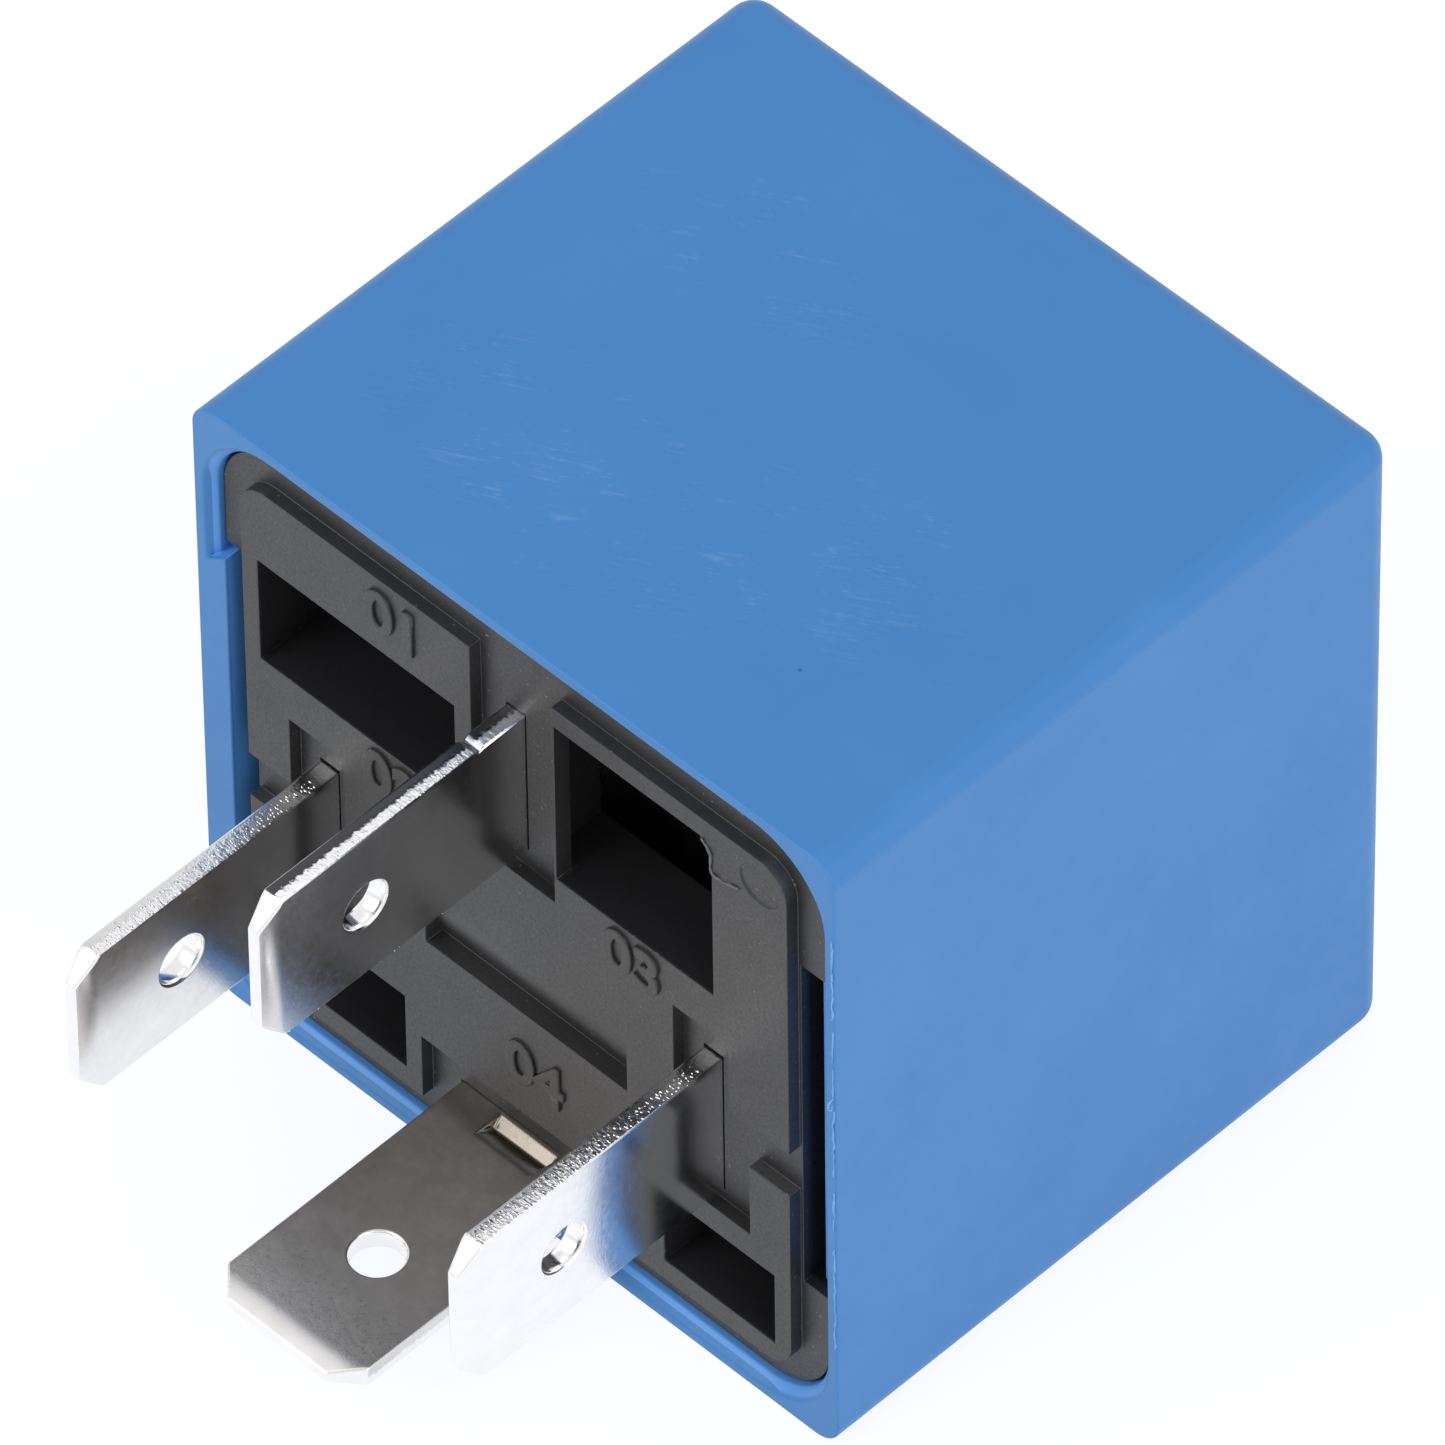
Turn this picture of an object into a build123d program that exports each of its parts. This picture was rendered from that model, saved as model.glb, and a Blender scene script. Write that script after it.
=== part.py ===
"""Plug-in relay with four blade terminals, one coil and one hinged armature, in millimetres.

The relay lies on its side. The plug face is the XZ plane, the blades point along -Y,
the cover reaches along +Y, and +Z is up. The origin is the centre of the plug face.
"""
import math
import os
from build123d import *

# How far a cut runs past a face, and a joined bar into its neighbour
overshoot = 1.0

# Cover: a five-sided box, open at the plug face
cover_width = 28.0
cover_height = 27.8
cover_depth = 25.0
cover_wall = 0.75
cover_end_wall = 1.2
cover_edge_radius = 1.0
mouth_corner_radius = 2.75
mouth_chamfer = 0.35
rail_thickness = {-1: 0.55, 1: 0.7}
rail_front_y = {-1: 0.0, 1: 0.95}
rail_height = 14.9
rail_length = 15.0
rail_centre_z = -0.05
rail_end_drop = {-1: 0.65, 1: 0.0}

# Base: a plate with raised pads that end flush with the cover's rim
base_clearance = 0.1
base_back = 3.0
land_depth = 0.5
land_margin = 1.2
pad_corner_radius = 1.2
latch_length = 6.0
latch_width = 0.8
latch_height = 0.2
latch_clearance = 0.05
notch_clearance = 0.15
notch_depth = 1.1
ramp_width = 8.9
ramp_centre_x = 0.35
ramp_depth = 0.74
ramp_top_z = -1.6
ramp_bottom_z = -4.0
ejector_mark_radius = 0.85
ejector_mark_depth = 0.06
ejector_mark_inset = 1.15

# Windows in the base: rim left between a window and the pads' edge, then its own size
window_rim = 0.7
upper_left_window = (8.7, 4.65)
upper_left_window_drop = 3.35
upper_right_window = (6.85, 7.2)
upper_right_window_drop = 0.85
upper_right_window_corner = 0.5
upper_right_window_relief = 1.0
window_web = 0.2
lower_left_window = (6.1, 3.45)
lower_right_window = (4.9, 3.3)
lower_window_rise = 0.9

# Blade terminals
blade_width = 6.3
blade_thickness = 0.8
blade_reach = 11.05
open_blade_reach = 10.92
blade_hole_radius = 0.93
blade_hole_from_tip = 4.5
tip_bevel_length = 0.85
tip_bevel_depth = 0.18
tip_corner = 0.95
slot_clearance = 0.03
coil_slot_rise = 0.07
pattern_x = -0.3
coil_blade_pitch = 16.95
coil_blade_z = -2.9
common_blade_below_top = 7.33
open_blade_x = 0.0
open_blade_above_floor = 3.1
common_channel = (1.5, 2.05)
common_recess_below = 0.8
coil_recess_left = 1.27
coil_recess_right = 1.13
coil_recess_above = 1.65
coil_recess_below = 0.45
coil_pocket_right = 2.0
coil_channel = (-3.2, -1.2)
open_recess_margin = 1.3
open_recess_above = 1.5
notch_from_root = 1.45
notch_in_edge = (0.5, 0.14)
dimple_width = 2.55
dimple_reach = (-0.9, 0.4)
dimple_depth = 0.4

# Magnet: yoke, core, bobbin and winding
yoke_gap = 2.4
yoke_thickness = 1.6
yoke_width = 13.0
spring_room = 2.35
yoke_below_core = 4.5
core_radius = 3.0
core_tail_radius = 2.4
pole_radius = 4.3
pole_thickness = 0.75
press_clearance = 0.01
flange_thickness = 1.1
flange_gap = 0.6
flange_upright_gap = 0.3
barrel_wall = 0.8
winding_margin = 0.8
tape_thickness = 0.12
post_gap = 0.35
tongue_width = 3.2

# Armature group, drawn with the magnet closed and then opened about the hinge
armature_room = 4.4
armature_thickness = 1.5
armature_width = 12.0
armature_above_hinge = 0.5
armature_below_pole = 0.9
armature_opening_deg = 2.3
hinge_clearance = 0.05
residual_gap = 0.05
spring_thickness = 0.25
contact_spring_width = 7.0
contact_spring_tip_width = 4.4
contact_spring_top_gap = 4.2
contact_radius = 1.6
contact_thickness = 0.85
contact_tail_radius = 0.9
contact_tail_head_radius = 1.2
contact_tail_height = 0.3
contact_above_strip = 1.6
contact_spring_overhang = 2.0
rivet_radius = 0.7
rivet_head_radius = 1.25
rivet_head_height = 0.5
rivet_pitch = 3.6
armature_rivet_drop = 6.5
hinge_spring_width = 9.0
hinge_spring_grip = 7.0
hinge_spring_drop = 2.6
hinge_spring_bend = 0.9
hinge_spring_clearance = 0.2

# Strips inside the cover
open_strip_width = 5.0
upright_above_contact = 0.4
stop_width = 2.4
stop_gap = 0.6
stop_root = 1.2
stop_thickness = 0.6
stop_clearance = 0.05
stop_height = 3.0

# Coil leads and solder
lead_radius = 0.2
lead_gap = 0.05
lead_start = 0.4
lead_bend = 0.5
lead_notch_height = 1.2
solder_radius = 0.75
post_length = 2.6
post_width = 1.6

# Worked out from the values above
cover_top = cover_height / 2
cover_floor = -cover_height / 2
inner_x = cover_width / 2 - cover_wall
inner_z = cover_height / 2 - cover_wall
base_x = inner_x - base_clearance
base_z = inner_z - base_clearance
pad_x = base_x - land_margin
pad_z = base_z - land_margin
half_blade = blade_width / 2
half_thick = blade_thickness / 2
coil_blade_x = {
    "left": pattern_x - coil_blade_pitch / 2,
    "right": pattern_x + coil_blade_pitch / 2,
}
common_blade_z = cover_top - common_blade_below_top
open_blade_z = cover_floor + open_blade_above_floor
strip_top_z = open_blade_z + half_thick
strip_low_z = open_blade_z - half_thick
rail_z = (rail_centre_z - rail_height / 2, rail_centre_z + rail_height / 2)
yoke_back = base_back + yoke_gap
yoke_front = yoke_back + yoke_thickness
pole_face = cover_depth - cover_end_wall - armature_room
hinge_y = pole_face + hinge_clearance
yoke_top_z = inner_z - spring_room
yoke_leg_z = yoke_top_z - yoke_thickness
hinge_z = yoke_top_z
flange_top_z = yoke_leg_z - flange_gap
contact_z = strip_top_z + contact_above_strip
upright_top_z = contact_z + contact_radius + upright_above_contact
flange_low_z = upright_top_z + flange_upright_gap
flange_half_z = (flange_top_z - flange_low_z) / 2
flange_half_x = coil_blade_pitch / 2 - half_thick - post_gap
coil_z = (flange_top_z + flange_low_z) / 2
winding_radius = min(flange_half_z, flange_half_x) - winding_margin
lead_offset = winding_radius + press_clearance + tape_thickness + lead_gap + lead_radius
barrel_radius = core_radius + press_clearance + barrel_wall
winding_y = (yoke_front + flange_thickness, pole_face - pole_thickness - flange_thickness)
armature_back = hinge_y + armature_thickness
spring_back = armature_back + spring_thickness
armature_low_z = coil_z - pole_radius - armature_below_pole
hinge_axis = Axis((0, hinge_y, hinge_z), (1, 0, 0))


def block(x, y, z):
    """Box between a low and a high value along each axis."""
    middle = Pos((x[0] + x[1]) / 2, (y[0] + y[1]) / 2, (z[0] + z[1]) / 2)
    return middle * Box(x[1] - x[0], y[1] - y[0], z[1] - z[0])


def around(centre, half):
    """Low and high value, the same distance each side of a centre."""
    return (centre - half, centre + half)


def rod_y(radius, y, x, z):
    """Round bar along Y between two values of y."""
    return Pos(x, (y[0] + y[1]) / 2, z) * Rot(90, 0, 0) * Cylinder(radius, y[1] - y[0])


def rounded_y(half_x, half_z, radius, y):
    """Rounded rectangle about the Y axis, between two values of y."""
    outline = Plane.XZ.offset(-y[0]) * RectangleRounded(2 * half_x, 2 * half_z, radius)
    return extrude(outline, amount=y[1] - y[0], dir=(0, 1, 0))


def prism_x(points, x):
    """Outline of (y, z) points, between two values of x."""
    outline = Plane.YZ.offset(x[0]) * make_face(Polyline(points, close=True))
    return extrude(outline, amount=x[1] - x[0], dir=(1, 0, 0))


def prism_y(points, y):
    """Outline of (x, z) points, between two values of y."""
    outline = Plane.XZ.offset(-y[0]) * make_face(Polyline(points, close=True))
    return extrude(outline, amount=y[1] - y[0], dir=(0, 1, 0))


def prism_z(points, z):
    """Outline of (x, y) points, between two values of z."""
    outline = Plane.XY.offset(z[0]) * make_face(Polyline(points, close=True))
    return extrude(outline, amount=z[1] - z[0], dir=(0, 0, 1))


def opened(shape):
    """The shape turned from the closed to the open position of the armature."""
    return shape.rotate(hinge_axis, armature_opening_deg)


def opened_y(y, z):
    """How far along Y a point of the closed armature lies once the armature is open."""
    turn = math.radians(armature_opening_deg)
    return hinge_y + (y - hinge_y) * math.cos(turn) - (z - hinge_z) * math.sin(turn)


# ---------------------------------------------------------------- housing


def latch_bar(side, grow):
    """Snap bar on the base's upper (+1) or lower (-1) edge, or its pocket when grown."""
    half_length = latch_length / 2 + grow
    reach = sorted((side * (base_z - latch_height), side * (base_z + latch_height + grow)))
    y_middle = (land_depth + base_back) / 2
    return block(around(0, half_length), around(y_middle, latch_width / 2 + grow), reach)


def cover():
    """Box with rounded edges, a lead-in at its mouth, side rails and pockets for the latches."""
    body = block(around(0, cover_width / 2), (0, cover_depth), around(0, cover_height / 2))
    mouth = body.faces().sort_by(Axis.Y)[0]
    outer_edges = [edge for edge in body.edges() if edge not in mouth.edges()]
    body = fillet(outer_edges, cover_edge_radius)
    body -= rounded_y(inner_x, inner_z, mouth_corner_radius, (0, cover_depth - cover_end_wall))
    rim = body.faces().sort_by(Axis.Y)[0]
    body = chamfer(rim.inner_wires()[0].edges(), mouth_chamfer)
    for side in (-1, 1):
        inside = side * (inner_x - rail_thickness[side])
        outside = side * (inner_x + mouth_chamfer)
        outline = [(outside, rail_z[0]), (inside, rail_z[0]), (inside, rail_z[1]),
                   (outside, rail_z[1] - rail_end_drop[side])]
        body += prism_y(outline, (rail_front_y[side], rail_length))
        body -= latch_bar(side, latch_clearance)
    return body


def coil_recess(x):
    """Recess round one coil blade, with its wider pocket low on the right."""
    top = coil_blade_z + half_blade + coil_recess_above
    low = coil_blade_z - half_blade - coil_recess_below
    tall = block((x - coil_recess_left, x + coil_recess_right), (-overshoot, land_depth), (low, top))
    pocket_x = (x + coil_recess_right - base_clearance, x + coil_pocket_right)
    return tall + block(pocket_x, (-overshoot, land_depth), (low, coil_channel[1]))


def base_recesses():
    """All the steps in the raised pads: channel, recesses and the ramp in the middle."""
    common_low = common_blade_z - half_blade - common_recess_below
    channel_x = (pattern_x - common_channel[0], pattern_x + common_channel[1])
    cuts = block(channel_x, (-overshoot, land_depth), (common_low, base_z))
    for x in coil_blade_x.values():
        cuts += coil_recess(x)
    left_edge = (-base_x, coil_blade_x["left"] - coil_recess_left + base_clearance)
    right_edge = (coil_blade_x["right"] + coil_recess_right - base_clearance, base_x)
    for channel in (left_edge, right_edge):
        cuts += block(channel, (-overshoot, land_depth), coil_channel)
    open_x = around(open_blade_x, half_blade + open_recess_margin)
    cuts += block(open_x, (-overshoot, land_depth), (-base_z, strip_top_z + open_recess_above))
    slope = [(-overshoot, ramp_bottom_z), (ramp_depth, ramp_bottom_z),
             (0, ramp_top_z), (-overshoot, ramp_top_z)]
    cuts += prism_x(slope, around(ramp_centre_x, ramp_width / 2))
    return cuts


def base_windows():
    """The four through windows of the base."""
    y = (-overshoot, base_back + overshoot)
    left = -pad_x + window_rim
    right = pad_x - window_rim
    top = pad_z - upper_left_window_drop
    cuts = block((left, left + upper_left_window[0]), y, (top - upper_left_window[1], top))
    x_low = pattern_x + common_channel[1] + base_clearance
    x_high = x_low + upper_right_window[0]
    z_high = pad_z - upper_right_window_drop
    z_low = z_high - upper_right_window[1]
    clip = upper_right_window_corner
    outline = [(x_low, z_low), (x_high, z_low), (x_high, z_high - clip),
               (x_high - clip, z_high), (x_low, z_high)]
    cuts += prism_y(outline, y)
    relief = (x_low - upper_right_window_relief, x_low + clip)
    cuts += block(relief, (window_web + land_depth, base_back + overshoot), (z_low, z_high))
    low = -pad_z + lower_window_rise
    cuts += block((left, left + lower_left_window[0]), y, (low, low + lower_left_window[1]))
    cuts += block((right - lower_right_window[0], right), y, (low, low + lower_right_window[1]))
    return cuts


def blade_slots():
    """Slots that the four blades pass through, and the blind slot of the back stop."""
    y = (0, base_back + overshoot)
    thick = half_thick + slot_clearance
    wide = half_blade + slot_clearance
    cuts = block(around(pattern_x, thick), y, around(common_blade_z, wide))
    for x in coil_blade_x.values():
        cuts += block(around(x, thick), y, (coil_blade_z - wide, coil_blade_z + wide + coil_slot_rise))
    cuts += block(around(open_blade_x, wide), y, around(open_blade_z, thick))
    stop_z = around(open_blade_z, thick)
    stop_x = around(stop_centre_x(), stop_width / 2 + slot_clearance)
    cuts += block(stop_x, (stop_root, base_back + overshoot), stop_z)
    return cuts


def base():
    """Base plate with pads, recesses, windows, slots, side notches and latches."""
    body = rounded_y(base_x, base_z, mouth_corner_radius - base_clearance, (land_depth, base_back))
    body += rounded_y(pad_x, pad_z, pad_corner_radius, (0, land_depth))
    body -= base_recesses()
    body -= base_windows()
    body -= blade_slots()
    notch_z = (rail_z[0] - notch_clearance, rail_z[1] + notch_clearance)
    mark_x = pad_x - ejector_mark_inset
    mark_z = pad_z - ejector_mark_inset
    body -= rod_y(ejector_mark_radius, (-overshoot, ejector_mark_depth), mark_x, mark_z)
    for side in (-1, 1):
        notch_x = sorted((side * (base_x - notch_depth), side * (base_x + overshoot)))
        body -= block(notch_x, (0, base_back + overshoot), notch_z)
        body += latch_bar(side, 0)
    return body


# ---------------------------------------------------------------- terminals


def blade(reach, back):
    """Blade standing in the YZ plane about x = 0, z = 0, from its bevelled tip to y = back."""
    half_inner = half_blade - tip_corner
    outline = [(back, -half_blade), (back, half_blade), (tip_corner - reach, half_blade),
               (-reach, half_inner), (-reach, -half_inner), (tip_corner - reach, -half_blade)]
    body = prism_x(outline, around(0, half_thick))
    for side in (-1, 1):
        bevel = [(side * half_thick, tip_bevel_length - reach),
                 (side * (half_thick - tip_bevel_depth), -reach),
                 (side * (half_thick - tip_bevel_depth), -reach - overshoot),
                 (side * blade_thickness, -reach - overshoot),
                 (side * blade_thickness, tip_bevel_length - reach)]
        body -= prism_z(bevel, around(0, blade_width))
    hole = Pos(0, blade_hole_from_tip - reach, 0) * Rot(0, 90, 0)
    return body - hole * Cylinder(blade_hole_radius, 2 * blade_thickness)


def terminal_common():
    """Upright blade whose shoulder meets the yoke and whose tongue is staked through it."""
    body = blade(blade_reach, yoke_back)
    body += block(around(0, half_thick), (yoke_back - overshoot, yoke_front), around(0, tongue_width / 2))
    width, depth = notch_in_edge
    nick = [(-notch_from_root - width / 2, half_blade), (-notch_from_root, half_blade - depth),
            (-notch_from_root + width / 2, half_blade)]
    body -= prism_x(nick, around(0, blade_thickness))
    return Pos(pattern_x, 0, common_blade_z) * body


def terminal_coil(side):
    """Upright blade with a narrow post inside that the coil lead is soldered to."""
    body = blade(blade_reach, base_back)
    post_y = (base_back - overshoot, base_back + post_length)
    body += block(around(0, half_thick), post_y, around(0, post_width / 2))
    return Pos(coil_blade_x[side], 0, coil_blade_z) * body


def terminal_normally_open():
    """Flat blade that runs in along the floor and turns up to carry the fixed contact."""
    body = Pos(open_blade_x, 0, open_blade_z) * Rot(0, 90, 0) * blade(open_blade_reach, base_back)
    strip_x = around(open_blade_x, open_strip_width / 2)
    upright_y = (fixed_contact_face() - contact_thickness - blade_thickness,
                 fixed_contact_face() - contact_thickness)
    body += block(strip_x, (base_back - overshoot, upright_y[1]), (strip_low_z, strip_top_z))
    body += block(strip_x, upright_y, (strip_low_z, upright_top_z))
    body -= rod_y(contact_tail_radius + press_clearance, upright_y, open_blade_x, contact_z)
    dimple = [(dimple_reach[0], strip_top_z), (dimple_reach[1] - dimple_depth, strip_top_z - dimple_depth),
              (dimple_reach[1], strip_top_z)]
    return body - prism_x(dimple, around(open_blade_x, dimple_width / 2))


def fixed_contact_face():
    """Where the fixed contact's face stands along Y, just clear of the closed moving contact."""
    return armature_back - contact_thickness - residual_gap


def fixed_contact():
    """Silver contact with a tail riveted through the upright."""
    face = fixed_contact_face()
    seat = face - contact_thickness
    body = rod_y(contact_radius, (seat, face), open_blade_x, contact_z)
    body += rod_y(contact_tail_radius, (seat - blade_thickness, seat), open_blade_x, contact_z)
    tail = (seat - blade_thickness - contact_tail_height, seat - blade_thickness)
    return body + rod_y(contact_tail_head_radius, tail, open_blade_x, contact_z)


def stop_centre_x():
    """Centre of the back stop's strip, beside the normally open strip."""
    return open_blade_x + half_blade + slot_clearance + stop_gap + stop_width / 2


def back_stop():
    """Strip from the base that turns up behind the moving contact and stops it."""
    x = around(stop_centre_x(), stop_width / 2)
    face = opened_y(spring_back + contact_tail_height, contact_z - contact_tail_head_radius)
    face += stop_clearance
    back = face + stop_thickness
    body = block(x, (stop_root, back), (strip_low_z, strip_top_z))
    plate_x = (open_blade_x - contact_radius, x[1])
    plate_z = (strip_low_z, contact_z + stop_height / 2)
    return body + block(plate_x, (face, back), plate_z)


# ---------------------------------------------------------------- magnet


def yoke():
    """L-shaped iron frame with holes for the core's tail, the tongue and the spring rivets."""
    x = around(pattern_x, yoke_width / 2)
    body = block(x, (yoke_back, pole_face), (yoke_leg_z, yoke_top_z))
    body += block(x, (yoke_back, yoke_front), (coil_z - yoke_below_core, yoke_top_z))
    body -= rod_y(core_tail_radius + press_clearance, (yoke_back, yoke_front), pattern_x, coil_z)
    tongue_x = around(pattern_x, half_thick + press_clearance)
    tongue_z = around(common_blade_z, tongue_width / 2 + press_clearance)
    body -= block(tongue_x, (yoke_back - overshoot, yoke_front + overshoot), tongue_z)
    for x_rivet in rivet_columns():
        hole = Pos(x_rivet, hinge_rivet_y(), (yoke_leg_z + yoke_top_z) / 2)
        body -= hole * Cylinder(rivet_radius + press_clearance, yoke_thickness)
    return body


def rivet_columns():
    """Where each pair of rivets stands along X."""
    return (pattern_x - rivet_pitch / 2, pattern_x + rivet_pitch / 2)


def hinge_rivet_y():
    """Where the rivets that hold the hinge spring stand along Y."""
    return pole_face - hinge_spring_grip / 2


def core():
    """Iron core: tail staked in the yoke, shank in the bobbin, wide pole face at the armature."""
    body = rod_y(core_tail_radius, (yoke_back, yoke_front), pattern_x, coil_z)
    body += rod_y(core_radius, (yoke_front, pole_face - pole_thickness), pattern_x, coil_z)
    return body + rod_y(pole_radius, (pole_face - pole_thickness, pole_face), pattern_x, coil_z)


def bobbin():
    """Spool with a flange at each end, slid over the core."""
    x = around(pattern_x, flange_half_x)
    z = (flange_low_z, flange_top_z)
    body = rod_y(barrel_radius, (yoke_front, pole_face - pole_thickness), pattern_x, coil_z)
    body += block(x, (yoke_front, winding_y[0]), z)
    body += block(x, (winding_y[1], pole_face - pole_thickness), z)
    for way in (-1, 1):
        inner = pattern_x + way * (lead_offset - lead_radius - slot_clearance)
        outer = pattern_x + way * (flange_half_x + overshoot)
        notch_y = (yoke_front - overshoot, winding_y[0] + overshoot)
        body -= block(sorted((inner, outer)), notch_y, around(coil_z, lead_notch_height / 2))
    bore = (yoke_front - overshoot, pole_face - pole_thickness + overshoot)
    return body - rod_y(core_radius + press_clearance, bore, pattern_x, coil_z)


def ring_y(outer, inner, y):
    """Ring about the coil's axis."""
    hole_y = (y[0] - overshoot, y[1] + overshoot)
    return rod_y(outer, y, pattern_x, coil_z) - rod_y(inner, hole_y, pattern_x, coil_z)


def coil_winding():
    """Copper winding as one ring between the flanges."""
    return ring_y(winding_radius, barrel_radius + press_clearance, winding_y)


def coil_tape():
    """Tape wrapped once round the winding."""
    inner = winding_radius + press_clearance
    return ring_y(inner + tape_thickness, inner, winding_y)


# ---------------------------------------------------------------- armature group


def armature():
    """Iron plate that the core pulls, with holes for the contact spring's rivets."""
    x = around(pattern_x, armature_width / 2)
    body = block(x, (hinge_y, armature_back), (armature_low_z, hinge_z + armature_above_hinge))
    for x_rivet in rivet_columns():
        z = hinge_z - armature_rivet_drop
        body -= rod_y(rivet_radius + press_clearance, (hinge_y, armature_back), x_rivet, z)
    return opened(body)


def contact_spring():
    """Leaf on the armature's back that narrows down to the moving contact."""
    half = contact_spring_width / 2
    tip = contact_spring_tip_width / 2
    top = hinge_z - contact_spring_top_gap
    low = contact_z - contact_spring_overhang
    outline = [(pattern_x - half, top), (pattern_x - half, armature_low_z),
               (open_blade_x - tip, contact_z + tip), (open_blade_x - tip, low),
               (open_blade_x + tip, low), (open_blade_x + tip, contact_z + tip),
               (pattern_x + half, armature_low_z), (pattern_x + half, top)]
    body = prism_y(outline, (armature_back, spring_back))
    hole_y = (armature_back, spring_back)
    body -= rod_y(contact_tail_radius + press_clearance, hole_y, open_blade_x, contact_z)
    for x_rivet in rivet_columns():
        z = hinge_z - armature_rivet_drop
        body -= rod_y(rivet_radius + press_clearance, hole_y, x_rivet, z)
    return opened(body)


def armature_rivets():
    """Two rivets, flush with the armature's pole side, that hold the contact spring."""
    rivets = []
    for x_rivet in rivet_columns():
        z = hinge_z - armature_rivet_drop
        shank = rod_y(rivet_radius, (hinge_y, spring_back), x_rivet, z)
        head = rod_y(rivet_head_radius, (spring_back, spring_back + rivet_head_height), x_rivet, z)
        rivets.append(opened(shank + head))
    return Compound(children=rivets)


def moving_contact():
    """Silver contact riveted through the tip of the contact spring."""
    face = armature_back - contact_thickness
    body = rod_y(contact_radius, (face, armature_back), open_blade_x, contact_z)
    body += rod_y(contact_tail_radius, (armature_back, spring_back), open_blade_x, contact_z)
    tail = (spring_back, spring_back + contact_tail_height)
    return opened(body + rod_y(contact_tail_head_radius, tail, open_blade_x, contact_z))


def hinge_spring():
    """Leaf riveted on the yoke that bends down over the armature's top and holds it in place."""
    low = yoke_top_z
    high = low + spring_thickness
    over = hinge_z + armature_above_hinge + hinge_spring_clearance
    back = opened_y(armature_back, hinge_z - hinge_spring_drop) + hinge_spring_clearance
    grip = pole_face - hinge_spring_grip
    step = pole_face - hinge_spring_bend
    crest = over + spring_thickness
    outline = [(grip, low), (step - hinge_spring_bend, low), (step, over), (back, over),
               (back, hinge_z - hinge_spring_drop), (back + spring_thickness, hinge_z - hinge_spring_drop),
               (back + spring_thickness, crest), (step - spring_thickness / 2, crest),
               (step - hinge_spring_bend - spring_thickness / 2, high), (grip, high)]
    body = prism_x(outline, around(pattern_x, hinge_spring_width / 2))
    for x_rivet in rivet_columns():
        hole = Pos(x_rivet, hinge_rivet_y(), (low + high) / 2)
        body -= hole * Cylinder(rivet_radius + press_clearance, spring_thickness)
    return body


def hinge_rivets():
    """Two rivets that hold the hinge spring down on the yoke."""
    rivets = []
    for x_rivet in rivet_columns():
        top = yoke_top_z + spring_thickness
        shank = Pos(x_rivet, hinge_rivet_y(), (yoke_leg_z + top) / 2)
        head = Pos(x_rivet, hinge_rivet_y(), top + rivet_head_height / 2)
        rivet = shank * Cylinder(rivet_radius, top - yoke_leg_z)
        rivets.append(rivet + head * Cylinder(rivet_head_radius, rivet_head_height))
    return Compound(children=rivets)


# ---------------------------------------------------------------- coil leads


def outward(side):
    """-1 on the left and +1 on the right."""
    return -1 if side == "left" else 1


def lead_path(side):
    """Lead from beside the winding, through the flange's notch and forward to the post."""
    way = outward(side)
    beside = pattern_x + way * lead_offset
    beside_post = coil_blade_x[side] - way * (half_thick + lead_radius + slot_clearance)
    post_y = base_back + post_length / 2
    return FilletPolyline([(beside, winding_y[0] + lead_start, coil_z),
                           (beside, yoke_back, coil_z),
                           (beside_post, post_y + lead_bend, coil_blade_z + lead_bend),
                           (beside_post, post_y - lead_bend, coil_blade_z - lead_bend)],
                          radius=lead_bend / 2)


def coil_lead(side):
    """Round copper wire along the lead's path."""
    path = lead_path(side)
    section = Plane(origin=path @ 0, z_dir=path % 0) * Circle(lead_radius)
    return sweep(section, path=path)


def solder_joint(side):
    """Solder bead round the post's end and the lead's end."""
    x = coil_blade_x[side]
    y = base_back + post_length / 2
    bead = Pos(x, y, coil_blade_z) * Rot(90, 0, 0)
    body = bead * Cylinder(solder_radius + post_width / 2, post_length / 2)
    body = fillet(body.edges(), solder_radius / 2)
    post_y = (y - post_length, y + post_length)
    body -= block(around(x, half_thick), post_y, around(coil_blade_z, post_width / 2))
    path = lead_path(side)
    grown = Plane(origin=path @ 0, z_dir=path % 0) * Circle(lead_radius + press_clearance)
    return body - sweep(grown, path=path)


nodes = {
    "cover": cover,
    "base": base,
    "terminal_common": terminal_common,
    "terminal_normally_open": terminal_normally_open,
    "fixed_contact": fixed_contact,
    "back_stop": back_stop,
    "yoke": yoke,
    "core": core,
    "bobbin": bobbin,
    "coil_winding": coil_winding,
    "coil_tape": coil_tape,
    "armature": armature,
    "contact_spring": contact_spring,
    "armature_rivets": armature_rivets,
    "moving_contact": moving_contact,
    "hinge_spring": hinge_spring,
    "hinge_rivets": hinge_rivets,
}

os.makedirs("parts", exist_ok=True)
for name, make in nodes.items():
    export_step(make(), f"parts/{name}.step")
for side_name in ("left", "right"):
    export_step(terminal_coil(side_name), f"parts/terminal_coil_{side_name}.step")
    export_step(coil_lead(side_name), f"parts/coil_lead_{side_name}.step")
    export_step(solder_joint(side_name), f"parts/solder_joint_{side_name}.step")
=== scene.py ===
"""Plug-in relay lying on its side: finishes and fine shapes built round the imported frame.

Everything is in metres, in the frame's own axes: the blades point along -Y, the cover
reaches along +Y, and +Z is up.
"""

import logging
import math
from dataclasses import dataclass, field
from enum import Enum, IntEnum
from typing import Iterable, Sequence

import bmesh
import bpy
from bpy.types import Material, Mesh, Node, NodeOutputs, NodeSocket, NodeTree, Object
from mathutils import Matrix, Vector


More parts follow.
